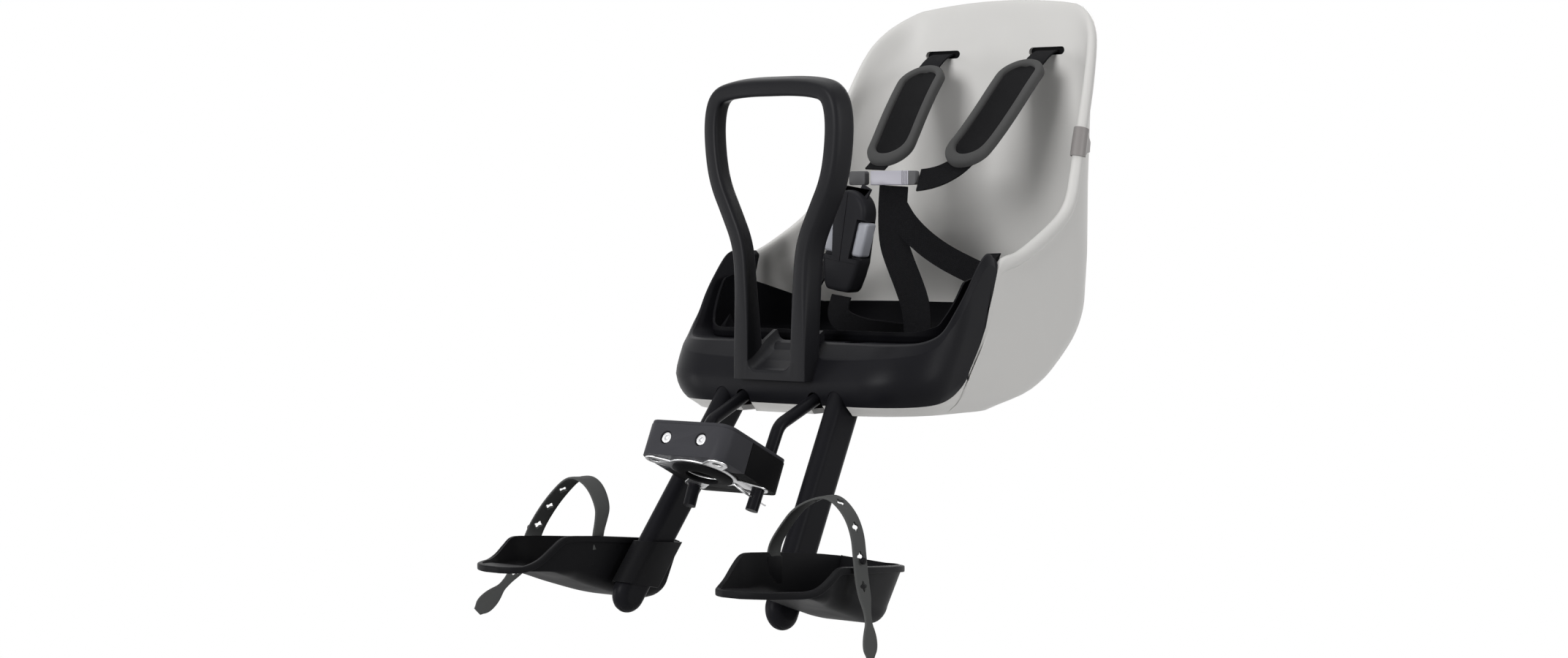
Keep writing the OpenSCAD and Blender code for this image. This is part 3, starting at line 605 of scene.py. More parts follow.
def pipe(points, radius, sides, rows):
    """A round bar along a line without any twist."""
    path, frames, normal = Path(points), [], None
    for i in range(rows + 1):
        forward = path.direction(i / rows, 0.5 / rows)
        normal = normal or forward.orthogonal().normalized()
        normal = (normal - forward * normal.dot(forward)).normalized()
        frames.append((path.place(i / rows), normal, forward.cross(normal)))

    def place(u, v):
        at, n, b = frames[round(v * rows)]
        return at + (n * math.cos(u * math.tau) + b * math.sin(u * math.tau)) * radius

    bm = surface(sides, rows, place)
    close_holes(bm)
    outward(bm)
    return bm


def prism(points, push):
    """A flat outline, in mm, pushed out into a solid."""
    bm = bmesh.new()
    made = bmesh.ops.create_circle(bm, cap_ends=True, segments=len(points), radius=0.01)
    for vert, point in zip(made["verts"], points):
        vert.co = Vector(point) * MM
    top = bmesh.ops.extrude_face_region(bm, geom=list(bm.faces))
    moved = [g for g in top["geom"] if isinstance(g, bmesh.types.BMVert)]
    bmesh.ops.translate(bm, vec=Vector(push) * MM, verts=moved)
    outward(bm)
    return bm


LEG_TOP, LEG_END = Vector((64.4, 33, 38)), Vector((91.5, -110, -167))
LEG_DEPTH, LEG_THICK = 38, 18
LEG_FLAT, LEG_BALL = (LEG_DEPTH - LEG_THICK) / 2, LEG_THICK / 2


def leg_frame():
    along = (LEG_END - LEG_TOP).normalized()
    thick = Vector((0, 1, 0)).cross(along).normalized()
    return thick, along.cross(thick), along


def leg_plug(start, end, grow, side):
    """A solid with the leg's oval section, for holes."""
    thick, deep, along = leg_frame()
    r, turns = LEG_BALL + grow, [math.pi * i / 10 for i in range(11)]
    half = [(r * math.cos(a), LEG_FLAT + r * math.sin(a)) for a in turns]
    points = [LEG_TOP + along * start + thick * x + deep * y
              for x, y in half + [(-x, -y) for x, y in half]]
    return on_side(prism(points, along * (end - start)), side)


# ---------------------------------------------------------------- bucket shell
RIM_HEIGHTS = {}


def shell_top(s):
    """Height of the bucket's rim over its column s; the back edge is a little crowned."""
    key = round(s, 5)
    if key not in RIM_HEIGHTS:
        z = rim_height(s)
        spot = outline(s, z)
        if spot.y > 300 and abs(spot.x) < CROWN_HALF:
            z += CROWN * (1 - (spot.x / CROWN_HALF) ** 2)
        RIM_HEIGHTS[key] = z
    return RIM_HEIGHTS[key]


# The rolled rim's section: distance from the rim, how far it stands out of the wall's
# outer face on the bucket and under the frame
RIM_ROLL = [(15, 0, 0), (12.8, 0.05, 0), (12.3, 1.2, 0), (11, 3.1, 0), (8, 4.4, 0),
            (4.5, 4.2, 0), (1.6, 2.9, 0), (0, 1.0, -0.6), (-0.9, -1.2, -2.5), (-0.7, -3.3, -4.4),
            (0.7, -4.7, -5), (3.2, -5.5, -5), (7, -5.9, -5), (12, -5.8, -5),
            (18, -5.4, -5), (24, -5, -5)]


def rim_direction(s):
    """How far to go along the plan and down for each millimetre away from the rim."""
    step = 0.0015
    before, after, z = (s - step) % 1, (s + step) % 1, shell_top(s)
    run = (outline(after, z) - outline(before, z)).length
    climb = outline(after, shell_top(after)).z - outline(before, shell_top(before)).z
    size = math.hypot(run, climb)
    return climb / size / (run / (2 * step)), -run / size


def slot_ring(side):
    """A strap slot's outline, long with round ends, behind the backrest."""
    half, tall, back = 17.5, 4.2, table(SLOT_Z, BACK) - 20
    turns = [math.radians(d) for d in range(0, 181, 20)]
    return ([(side * SLOT_X + half + tall * math.sin(a), back, SLOT_Z + tall * math.cos(a))
             for a in turns]
            + [(side * SLOT_X - half - tall * math.sin(a), back, SLOT_Z - tall * math.cos(a))
               for a in turns])


def build_shell():
    columns, floor_rows, wall_rows = 280, 4, 46
    # where the rim comes out from under the frame, and how wall rows crowd to the floor
    tip, crowd = 0.22, 1.35
    lines = []
    for i in range(columns + 1):
        s = i / columns % 1
        z = shell_top(s)
        along, down = rim_direction(s)
        roll = smoothstep(tip - 0.008, tip + 0.012, min(s, 1 - s))
        near = min(1, z / 90)
        fall = lerp(-1, down, roll)

        def wall(b, t, inside):
            top = max(z + fall * b * near, inside + 0.5)
            return outline((s + along * b * near * roll * t * t) % 1,
                           lerp(inside, top, t ** crowd), inside, inside, inside)

        def at(b, n):
            return outline((s + along * b * near * roll) % 1, z + fall * b * near, -n, -n, -n)

        line = [Vector((0, 120, 0)).lerp(outline(s, 0), k / floor_rows) for k in range(floor_rows)]
        line += [wall(RIM_ROLL[0][0], k / wall_rows, 0) for k in range(wall_rows)]
        line += [at(b, lerp(flat, n, roll)) for b, n, flat in RIM_ROLL]
        line += [wall(RIM_ROLL[-1][0], k / wall_rows, SHELL_WALL)
                 for k in range(wall_rows - 1, -1, -1)]
        line += [Vector((0, 120, SHELL_WALL)).lerp(line[-1], k / floor_rows)
                 for k in range(floor_rows - 1, -1, -1)]
        lines.append(line)
    rows = len(lines[0]) - 1
    bm = surface(columns, rows, lambda u, v: lines[round(u * columns)][round(v * rows)])
    outward(bm)
    shell = new_object("look_seat_shell", seated(bm))
    cutters = []
    for side in (-1, 1):
        cutters += [seated(prism(slot_ring(side), (0, 40, 0))), leg_plug(-40, 80, 1.5, side),
                    seated(box((side * PRONG_X - 8, -30, -15), (side * PRONG_X + 8, 30, 15)))]
    cut(shell, join(*cutters))
    keep_sharp(shell, 50)
    return dress(shell, SHELL_WHITE, ["seat_shell"])


def build_anchors():
    """Dark plates behind the backrest that close the slots round the shoulder straps."""
    parts = []
    for side in (-1, 1):
        back = table(352, BACK)
        plate = box((side * SLOT_X - 25, back + 0.5, 333), (side * SLOT_X + 25, back + 3, 366))
        parts.append(seated(rounded(plate, 1, 2)))
    piece = new_object("look_strap_anchors", join(*parts))
    keep_sharp(piece, 40)
    return dress(piece, BLOCK_BLACK, ["strap_anchor_left", "strap_anchor_right"])


# ---------------------------------------------------------------- base frame
def build_frame():
    def top_of(s):
        return rim_height(s, ARM, 190)

    low, high = 0.15, 0.26
    for _ in range(20):
        mid = (low + high) / 2
        if top_of(mid) > shell_top(mid) + 0.3:
            low = mid
        else:
            high = mid
    tip = low
    columns, profiles = 220, []
    for i in range(columns + 1):
        way = 2 * i / columns - 1
        s = math.copysign(tip * (1 - (1 - abs(way)) ** 1.6), way) % 1
        bottom = shell_top(s)
        tall = max(top_of(s) - bottom, 0.2)
        top = bottom + tall
        bar = 1 - smoothstep(0.04, 0.14, min(s, 1 - s))
        drop = min(lerp(11, 16, bar), tall * 0.45)
        lean = lerp(2.6, 9, bar) * min(1, tall / 25)
        inner = 50 - smooth_table(bottom, FRONT, 2)
        full = math.sqrt(1 - (1 - min(1, tall / 16)) ** 2)
        edge = 5 * (1 - full)
        rows = [(edge, edge, lerp(bottom, top - drop, t))
                for t in (0, 0.08, 0.18, 0.3, 0.45, 0.6, 0.8, 1)]
        rows += [(edge + lean, edge + lean, top - min(1.5, tall * 0.1)),
                 (edge + lean + 2 * full, edge + lean + 3, top), (6 + 4 * full, inner - 5, top),
                 (6 + 7 * full, inner, top - min(4, tall * 0.3)),
                 (6 + 7 * full, inner, bottom + 0.01), (edge, edge, bottom)]
        line = filleted(rows, 2.5, 5)
        profiles.append((s, line))
    count = len(profiles[0][1]) - 1

    def place(u, v):
        s, line = profiles[round(u * columns)]
        side, front, z = line[round(v * count)]
        return outline(s, z, side, front, side)

    bm = surface(columns, count, place)
    close_holes(bm)
    outward(bm)
    piece = new_object("look_base_frame", seated(bm))
    groove = 7.6
    for side in (-1, 1):
        x = side * PRONG_X
        path = filleted([(x, -50, 12), (x, 0, 13.5), (44 * side, 45, 30)], 10)
        cut(piece, leg_plug(-40, 90, 0.6, side), seated(pipe(path, groove, 24, 24)),
            seated(box((x - groove, -20, -12), (x + groove, 8, 13))))
    soften(piece, 0.7, 40)
    return dress(piece, DARK_PLASTIC, ["base_frame"])


# ---------------------------------------------------------------- inner pan
PAN_EDGE = [(30, 72), (36, 75.5), (44, 77), (56, 78), (70, 84), (84, 104), (98, 124),
            (112, 128), (160, 117), (210, 105), (260, 97), (360, 95)]


def build_pan():
    # the floor's share of the rows and its height; how the wall curves into the floor
    floor, low = 0.4, 60
    round_in = [(0, 16), (2, 9), (5, 4.5), (9, 1.5), (14, 0)]

    def inset(u, z):
        eased = table(z - low, round_in)
        return outline(u, z, 13.6 + eased, 50.4 - smooth_table(z, FRONT, 2) + eased, 5.6 + eased)

    def place(u, v):
        if v <= floor:
            return Vector((0, 190, low)).lerp(inset(u, low), v / floor)
        t = (v - floor) / (1 - floor)
        edge = table(inset(u, 90).y, PAN_EDGE)
        return inset(u, lerp(low, edge, t ** 1.2))

    bm = surface(260, 50, place)
    face_away(bm, (0, 190, 120))
    piece = new_object("look_seat_pan", seated(bm))
    thicken(piece, 2.4)
    for x, y in ((-14, 209), (14, 185)):
        width = 28 if x < 0 else 32
        cut(piece, seated(box((x, y, 40), (x + width, y + 6, 75))))
    keep_sharp(piece, 40)
    return dress(piece, LINER_PLASTIC, ["seat_liner"])


# ---------------------------------------------------------------- grab handle
def build_handle():
    foot, top, reach, depth, bar = 32, 306.5, 72.5, 24, 17
    half = [(34, foot), (34, foot + 50), (34.5, foot + 98), (38, top - 145), (52, top - 115),
            (reach - 7, top - 88), (reach - 1.5, top - 60), (reach, top - 28),
            (reach - 6, top - 7), (50, top - 2), (25, top)]
    line = [(-x, -2, z) for x, z in half] + [(0, -2, top)] + [(x, -2, z) for x, z in half[::-1]]
    path = Path(smooth_line(line))

    def section(a, t):
        foot_share = 1 - smoothstep(0.02, 0.16, min(t, 1 - t))
        x, y = soft_box(a, bar, depth, lerp(0.5, 0.12, foot_share))
        flare = 5 * (1 - foot_share)
        return x - flare * (y / depth + 0.5), y

    loop = tube(path, section, (0, 1, 0), 48, 260)
    side = [(-14, 32), (-14, 39), (-12.6, 41.5), (-8, 43), (4, 50), (16, 59), (34, 69), (34, 58),
            (18, 32), (-14, 32)]
    rows = filleted([(y, z, 0) for y, z in side], 2, 4)

    def saddle(u, v):
        x = lerp(-30, 30, u)
        y, z, _ = rows[round(v * (len(rows) - 1))]
        under = z < 36 or (y > 15 and z < 36 + (y - 18) * 1.6)
        corner = min(10, max(0, abs(x) - 15.5))
        rise = 0 if under else 10 - math.sqrt(max(0, 100 - corner ** 2))
        return Vector((x, y, z + rise))

    seat = surface(60, len(rows) - 1, saddle)
    close_holes(seat)
    outward(seat)
    piece = new_object("look_grab_handle", seated(join(loop, seat)))
    keep_sharp(piece, 42)
    return dress(piece, SOFT_GRIP, ["grab_handle"])


# ---------------------------------------------------------------- fork, legs
def in_stem(x, y, z):
    c, s = math.cos(STEM_TILT), math.sin(STEM_TILT)
    return Vector((x, y * c + z * s, z * c - y * s))


ROD_LOW = in_stem(37.2, 37, -39.5)


def build_fork():
    half = [ROD_LOW, Vector((41, 53, 25.3)), Vector((44, 143, 61)), Vector((44, 221, 61))]
    line = [Vector((-p.x, p.y, p.z)) for p in half] + half[::-1]
    bm = pipe(filleted(line, 20, 12), 6, 28, 300)
    piece = new_object("look_mounting_fork", bm)
    hole = in_stem(37.2, 37, -28)
    side = in_stem(0, 1, 0)
    cut(piece, rod_between(hole - side * 15, hole + side * 15, 1.3, 20))
    soften(piece, 0.6, 50)
    return dress(piece, ROD_BLACK, ["mounting_fork"])


def build_leg(side):
    thick, deep, along = leg_frame()
    length = (LEG_END - LEG_TOP).length
    flat, ball = LEG_FLAT, LEG_BALL
    straight, tip_rows = 6, 22

    def reach(x, d):
        rim = flat + math.sqrt(max(0, ball * ball - x * x))
        return math.sqrt(max(0.01, rim * rim - d * d))

    def place(u, v):
        row = round(v * (straight + tip_rows))
        if row <= straight:
            at, d = lerp(-4, length, row / straight), 0
        else:
            d = (flat + ball) * math.sin((row - straight) / tip_rows * math.pi / 2)
            at = length + d
        if row == straight + tip_rows:
            return LEG_TOP + along * at
        widest = ball if d <= flat else math.sqrt(max(0, ball * ball - (d - flat) ** 2))
        turn = (u * 4) % 1 if u < 1 else 0
        quarter = int(u * 4) % 4
        if quarter % 2:
            turn = 1 - turn
        if turn < 0.7:
            x = widest * math.sin(turn / 0.7 * math.pi / 2)
            y = reach(x, d)
        else:
            x, y = widest, reach(widest, d) * (1 - (turn - 0.7) / 0.3)
        sx = 1 if quarter in (0, 1) else -1
        sy = 1 if quarter in (0, 3) else -1
        return LEG_TOP + along * at + thick * x * sx + deep * y * sy

    bm = surface(96, straight + tip_rows, place)
    close_holes(bm)
    outward(bm)
    name = side_name(side)
    piece = new_object(f"look_leg_{name}", on_side(bm, side))
    end = LEG_TOP + along * (length + flat + ball)
    grooves = join(*(rod_between(end + thick * x - deep * 20, end + thick * x + deep * 20, 1.5, 16)
                     for x in (-3.2, 3.2)))
    cut(piece, on_side(grooves, side))
    keep_sharp(piece, 50)
    return dress(piece, LEG_PLASTIC, [f"leg_{name}"])


# ---------------------------------------------------------------- footrests
# Along the tray: place, inner and outer side, their heights, floor, lean
STATIONS = [
    (-243, 131, 150, -133, -133, -136, 0),
    (-238, 121, 161, -133, -133, -136.5, 0),
    (-228, 114, 172, -132.5, -133.5, -137.2, 0),
    (-214, 109.5, 181, -127.5, -134, -138.5, 0),
    (-200, 106.5, 188, -118, -134.5, -140, 0),
    (-190, 105, 191.5, -111.5, -133, -142, 0),
    (-182, 104, 193, -109, -130, -144.5, 0),
    (-172, 103.4, 194.3, -109.2, -124, -147.5, 0),
    (-160, 103, 195, -110.2, -117.5, -151.5, 0),
    (-140, 101.8, 195.6, -112, -118.5, -158.5, 0),
    (-115, 100, 194.5, -114.7, -120.5, -166, 0.03),
    (-90, 98.5, 191.5, -117.5, -122.8, -172.5, 0.1),
    (-65, 97.5, 187, -120.5, -125, -177, 0.2),
    (-48, 97, 181, -123, -126.8, -178.5, 0.3),
    (-38, 97, 174, -124.5, -128, -178.5, 0.36),
    (-32, 97, 164, -125.5, -128.5, -178, 0.4),
    (-29, 97, 152, -126, -129, -177, 0.42)]
TRAY_WALL = 3.2


def station(t):
    """The tray's measures at a share of its length, eased between the rows."""
    x = t * (len(STATIONS) - 1)
    i = min(int(x), len(STATIONS) - 2)
    f = x - i
    rows = [STATIONS[min(max(j, 0), len(STATIONS) - 1)] for j in (i - 1, i, i + 1, i + 2)]
    return [b + 0.5 * f * (c - a + f * (2 * a - 5 * b + 4 * c - d + f * (3 * (b - c) + d - a)))
            for a, b, c, d in zip(*rows)]


def tray_profile(row):
    y, xi, xo, zi, zo, low, lean = row
    deep = min(zi, zo) - low
    r = max(0.5, min(16, deep * 0.42))
    xa, xb = xi + 0.08 * (zi - low - r), xo - 0.24 * (zo - low - r)
    line = [(xo, zo)] + [(xb - r + r * math.cos(a), low + r - r * math.sin(a))
                         for a in (math.pi / 2 * i / 8 for i in range(9))]
    line += [(xa + r - r * math.cos(a), low + r - r * math.sin(a))
             for a in (math.pi / 2 * (1 - i / 8) for i in range(9))]
    line += [(xi, zi)]
    return [Vector((x, y + lean * min(0, z - zi), z)) for x, z in line]


def build_tray(side):
    name = side_name(side)
    columns, cap = 96, 6
    rings = [tray_profile(station(i / columns)) for i in range(columns + 1)]
    around = []
    for ring in rings:
        down = [ring[0]] + [ring[0].lerp(ring[1], t) for t in (0.33, 0.66)]
        floor = [ring[9].lerp(ring[10], k / 6) for k in range(1, 6)]
        up = [ring[-2].lerp(ring[-1], t) for t in (0.33, 0.66)] + [ring[-1]]
        around.append(down + ring[1:10] + floor + ring[10:-1] + up)
    count = len(around[0]) - 1

    def place(u, v):
        col, row = round(u * (columns + 2 * cap)), round(v * count)
        if col < cap:
            ring, share = around[0], col / cap
        elif col > cap + columns:
            ring, share = around[-1], (2 * cap + columns - col) / cap
        else:
            return around[col - cap][row]
        middle = (ring[0] + ring[-1]) / 2
        return middle.lerp(ring[row], share)

    bm = surface(columns + 2 * cap, count, place)
    face_away(bm, (148, -130, -110))
    tray = new_object("tray", on_side(bm, side))
    thicken(tray, TRAY_WALL)
    rim = [r[-1] for r in around[int(columns * 0.72)::-1]] + [r[0] for r in around]

    def beading(a, t):
        x, y = soft_box(a, 4.4, 6, 0.4)
        return x + 0.6, y - 2.6

    # beading under the rim, a little proud of the wall
    bead = on_side(tube(Path(rim), beading, (0, 0, 1), 20, 240), side)
    # collar round the leg, square behind
    thick, deep, along = leg_frame()
    r, turns = LEG_BALL + 0.4 + TRAY_WALL, [math.pi * (1 + i / 14) for i in range(15)]
    front = [(r * math.cos(a), -LEG_FLAT + r * math.sin(a)) for a in turns]
    back = LEG_FLAT + LEG_BALL + TRAY_WALL
    section = front + [(r, back - 3), (r - 0.9, back - 0.9), (r - 3, back), (-r + 3, back),
                       (-r + 0.9, back - 0.9), (-r, back - 3)]
    points = [LEG_TOP + along * 150 + thick * x + deep * y for x, y in section]
    collar = prism(points, along * 150)
    low, rim_at = Vector((0, -79, -165)), Vector((0, -45, -124))
    for at, tilt, keep_above in ((low, -12, True), (rim_at, -5.4, False)):
        normal = Vector((0, -math.sin(math.radians(tilt)), math.cos(math.radians(tilt))))
        geom = [*collar.verts, *collar.edges, *collar.faces]
        bmesh.ops.bisect_plane(collar, geom=geom, plane_co=at * MM, plane_no=normal,
                               clear_inner=keep_above, clear_outer=not keep_above)
        close_holes(collar)
    outward(collar)
    # pocket that holds the foot strap's end
    foot = ARCH[name][0]
    pocket = box((foot.x - 0.6, foot.y - 10, -140), (foot.x + 2.4, foot.y + 10, foot.z + 9))
    whole = bmesh.new()
    whole.from_mesh(tray.data)
    discard(tray)
    whole = join(whole, bead, on_side(collar, side), on_side(rounded(pocket, 0.9, 3), side))
    piece = new_object(f"look_footrest_{name}", whole)
    cut(piece, leg_plug(60, 330, 0.4, side))
    keep_sharp(piece, 35)
    return dress(piece, TRAY_PLASTIC, [f"footrest_{name}"],
                 f"footrest_{name}_slide")


# ---------------------------------------------------------------- foot straps
ARCH_FOOT = [(104.6, -139, -124), (104.6, -139, -111)]
ARCH = {
    "right": smooth_line(ARCH_FOOT + [(108, -139, -101), (117.7, -139, -87.7),
                                      (133.6, -139, -69.5), (157, -139, -59),
                                      (173, -139, -58), (189, -139, -71),
                                      (197.5, -139, -88.7), (199.8, -139, -108),
                                      (202.5, -139.5, -129.7), (208, -140, -151),
                                      (212, -141, -170), (214, -142, -196)]),
    "left": smooth_line(ARCH_FOOT + [(100, -139, -96), (98, -139, -84), (106, -139, -67),
                                     (120.5, -137, -58.5), (138, -135, -59), (163, -132, -78),
                                     (184, -129, -99), (198, -126.5, -117), (203, -128, -134),
                                     (210, -141.6, -155.5), (217, -157, -172), (228, -173, -190)]),
}
# The foot strap's width along its length, as a share of the full width
STRAP_SHAPE = [(0, 1), (0.74, 1), (0.79, 0.9), (0.84, 0.5), (0.88, 0.45), (0.905, 0.8),
               (0.935, 1.05), (0.965, 1.08), (0.985, 0.85), (1, 0.4)]
FOOT_STRAP_W, FOOT_STRAP_T = 16.5, 2.4


def build_foot_strap(side):
    name = side_name(side)
    path = Path(ARCH[name])
    upright = Vector((0.1, 1, 0.05))
    turned = upright if side > 0 else Vector((-0.55, 0.85, 0.05))

    def across(t):
        return upright.lerp(turned, smoothstep(0.03, 0.28, t))

    def section(a, t):
        width = FOOT_STRAP_W * smooth_table(t, STRAP_SHAPE, 0.012)
        x, y = soft_box(a, FOOT_STRAP_T, 1, 0.35)
        return x, y * width

    bm = tube(path, section, across, 28, 260)
    piece = new_object(f"look_foot_strap_{name}", on_side(bm, side))
    holes, first, apart = [], 86, 26
    for along in range(first, int(path.length * 0.83), apart):
        t = along / path.length
        at, forward = path.place(t), path.direction(t)
        out = across(t).cross(forward).normalized()
        up = forward.cross(out)
        ring = [at - out * 4 + (forward * math.cos(a) * 1.15 + up * math.sin(a))
                * (3.5 + 0.9 * math.cos(4 * a)) for a in (math.tau * i / 32 for i in range(32))]
        holes.append(on_side(prism(ring, out * 8), side))
    cut(piece, join(*holes))
    keep_sharp(piece, 45)
    soften(piece, 0.35, 50)
    return dress(piece, STRAP_RUBBER, [f"foot_strap_{name}"],
                 f"footrest_{name}_slide")


# ---------------------------------------------------------------- harness
BAND_W, BAND_T = 25, 1.8


def band(name, points, across, replaces, across_end=None, turn_at=0.0, width=BAND_W):
    """A length of webbing along a line, with its width along the across direction."""
    path = Path(smooth_line(points))
    start, end = Vector(across), Vector(across_end or across)

    def place(u, v):
        way = start.lerp(end, max(0, v - turn_at) / (1 - turn_at))
        return ring_on(path, v, way, 0, (u - 0.5) * width)

    bm = surface(10, max(24, int(path.length / 2.5)), place, uv=(width, path.length))
    piece = new_object(name, seated(bm))
    thicken(piece, BAND_T, 0)
    keep_sharp(piece, 50)
    return dress(piece, WEBBING, replaces)


def strap_root(x):
    back = table(SLOT_Z, BACK)
    return [(x, back + 3.6, SLOT_Z - 20), (x, back + 6, SLOT_Z - 8), (x, back + 5.5, SLOT_Z - 1),
            (x, back - 2, SLOT_Z + 0.5), (x * 1.005, back - 14, SLOT_Z - 3)]


def build_straps():
    band("look_shoulder_strap_right", strap_root(65) + [
        (67, 338, 342), (69, 305, 318), (69, 270, 286), (66, 238, 256), (60, 217, 237),
        (47, 205, 227), (33, 200.5, 223), (22, 200, 222)], (1, 0, 0), ["shoulder_strap_right"],
        (0.1, -0.5, -0.85), 0.7)
    band("look_shoulder_strap_left", strap_root(-65) + [
        (-63, 338, 342), (-58, 305, 318), (-50, 270, 288), (-42, 240, 260), (-38, 219, 241),
        (-39, 209, 233.5)], (1, 0, 0), ["shoulder_strap_left"])
    band("look_crotch_strap", [(-56, 176, 106), (-58, 172, 92), (-54, 172, 81), (-36, 180, 74),
                               (-14, 196, 72), (-2, 208, 70), (0, 212, 64), (0, 212, 54)],
         (0.9, 0.1, 0.45), ["crotch_strap"])
    band("look_hip_strap_right", [(-14, 208.5, 198), (2, 210, 174), (34, 215, 149), (76, 224, 129),
                                  (118, 238, 112), (142, 247, 107), (159, 248, 107)],
         (0.4, 0.2, 0.85), ["hip_strap_right"], (0.3, 0.45, 0.85))
    band("look_hip_strap_left", [(-62, 205, 200), (-80, 209, 174), (-102, 219, 146),
                                 (-124, 232, 124), (-140, 244, 113), (-150, 247, 110.5),
                                 (-159, 248, 110)],
         (-0.6, 0, 0.8), ["hip_strap_left"], (-0.25, 0.75, 0.65))
    band("look_adjuster_strap", [(-13, 206, 216.6), (-13.5, 204, 190), (-11.5, 203, 160),
                                 (-2, 201.5, 140), (9.7, 199, 120), (22, 194, 100),
                                 (28.5, 189, 82), (30, 188, 54)],
         (0.8, 0.6, 0.05), ["adjuster_strap"], (1, 0.15, 0.1), 0.3, 29)


PAD_W = 52


def pad_outline(a, width, start, end):
    """A long shape with round ends: (across, along) at a share of its turn."""
    r = width / 2
    straight = end - start - width
    around = math.tau * r + 2 * straight
    d = a * around
    if d < straight:
        return r, start + r + d
    d -= straight
    if d < math.pi * r:
        return r * math.cos(d / r), end - r + r * math.sin(d / r)
    d -= math.pi * r
    if d < straight:
        return -r, end - r - d
    d -= straight
    return -r * math.cos(d / r), start + r - r * math.sin(d / r)


def build_pad(name, points):
    path = Path(smooth_line(points))
    across = Vector((1, 0, 0))
    lift = Vector((0, -0.62, 0.78)).normalized()
    # section of the ring: share of the way from the outer to the inner outline, height
    ring = [(0.0, 0), (-0.03, 1.8), (-0.03, 5), (0.03, 7.2), (0.16, 8.3), (0.4, 8.9), (0.65, 8.7),
            (0.86, 7.9), (0.97, 6.2), (1, 4.2), (1, 1)]

    def on_pad(x, q, h):
        t = q / path.length
        forward = path.direction(t)
        side = (across - forward * across.dot(forward)).normalized()
        return path.place(t) + side * x + lift * (h + 1.2)

    def place(u, v):
        share, h = ring[round(v * (len(ring) - 1))]
        xo, qo = pad_outline(u, PAD_W, 1, path.length - 1)
        xi, qi = pad_outline(u, PAD_W - 16, 9, path.length - 14)
        return on_pad(lerp(xo, xi, share), lerp(qo, qi, share), h)

    bm = surface(180, len(ring) - 1, place)
    face_away(bm, tuple(path.place(0.5) + lift * 4))
    piece = new_object(f"look_shoulder_pad_{name}", seated(bm))
    thicken(piece, 1.2)
    keep_sharp(piece, 60)
    dress(piece, PAD_RUBBER, [f"shoulder_pad_{name}"])

    def panel(u, v):
        r = 18.6
        x, q = lerp(-r, r, u), lerp(9.5, path.length - 14.5, v)
        near = min(q - 8.6, path.length - 13.6 - q)
        if near < r:
            x *= math.sqrt(max(0.02, 1 - (1 - near / r) ** 2))
        return on_pad(x, q, 3.4 + 0.5 * math.cos(u * math.tau))

    bm = surface(16, 110, panel, uv=(31, path.length))
    piece = new_object(f"look_pad_window_{name}", seated(bm))
    thicken(piece, 1.0, 0)
    return dress(piece, PAD_WEAVE)


def build_pads():
    build_pad("right", [(67.5, 334, 340), (69, 305, 319), (69, 270, 287), (66, 238, 257),
                        (60, 217, 237.5), (58.5, 212, 233)])
    build_pad("left", [(-57, 332, 337), (-51, 302, 314.5), (-42.5, 268, 285.5),
                       (-34.5, 239, 258.5), (-30, 218, 239), (-29, 213, 234.5)])


# ---------------------------------------------------------------- buckle
BUCKLE_AT, BUCKLE_LEAN = Vector((-53, 184, 160)), math.radians(9)


def on_buckle(bm):
    turn = Matrix.Rotation(BUCKLE_LEAN, 4, "Y")
    bmesh.ops.transform(bm, matrix=Matrix.Translation((BUCKLE_AT + SEAT) * MM) @ turn,
                        verts=bm.verts)
    return bm


def slanted(bm, side):
    """Leans a shape outwards with its height, as the buckle's buttons do."""
    for vert in bm.verts:
        vert.co.x += side * 0.12 * (vert.co.z - 5 * MM)
    return bm


def build_buckle():
    w, h = 23, 53
    upper = [(w * math.cos(a), h - w + w * math.sin(a))
             for a in (math.pi * i / 24 for i in range(25))]
    lower = [(-w, 14), (-w, -2), (-w, -18), (-w + 3, -33), (-w + 7, -46), (-w + 10, -49.5),
             (0, -50)]
    ring = upper + lower + [(-x, z) for x, z in lower[-2::-1]]
    ring = Path([Vector((x, z, 0)) for x, z in ring + ring[:1]])
    count = 120
    spots = [ring.place(i / count) for i in range(count + 1)]
    profile = [(5, -12), (2.6, -11.6), (1, -10.4), (0.2, -8.4), (0, -6), (0, 0)]
    profile += [(inset, -y) for inset, y in profile[-2::-1]]

    def place(u, v):
        inset, y = profile[round(v * (len(profile) - 1))]
        p = spots[round(u * count)]
        return Vector((p.x * (1 - inset / w), y, p.y * (1 - inset / h)))

    bm = surface(count, len(profile) - 1, place)
    close_holes(bm)
    outward(bm)
    piece = new_object("look_buckle_housing", bm)
    # the buttons' channels, their recesses in front, and two seams
    cut(piece, slanted(box((14.2, -7.5, -13), (32, 7.5, 24)), 1),
        slanted(box((-32, -7.5, -13), (-14.2, 7.5, 24)), -1),
        slanted(box((12.6, -20, -15), (32, -6, 25.5)), 1),
        slanted(box((-32, -20, -15), (-12.6, -6, 25.5)), -1),
        box((-0.35, -15, -20), (0.35, -11.3, 60)),
        box((-30, -15, -19.6), (30, -11.4, -18.9)))
    turned = bmesh.new()
    turned.from_mesh(piece.data)
    on_buckle(turned).to_mesh(piece.data)
    turned.free()
    keep_sharp(piece, 40)
    soften(piece, 0.5, 48)
    dress(piece, BUCKLE_DARK, ["buckle_body"])
    for side in (-1, 1):
        name = side_name(side)
        button = rounded(box((-6.5, -9, -17.6), (6.5, 7, 17.6)), 3, 4)
        bmesh.ops.translate(button, vec=Vector((side * 19, -0.4, 5.5)) * MM, verts=button.verts)
        key = new_object(f"look_buckle_button_{name}", on_buckle(slanted(button, side)))
        dress(key, BUTTON_GREY, [f"buckle_button_{name}"], f"button_{name}")


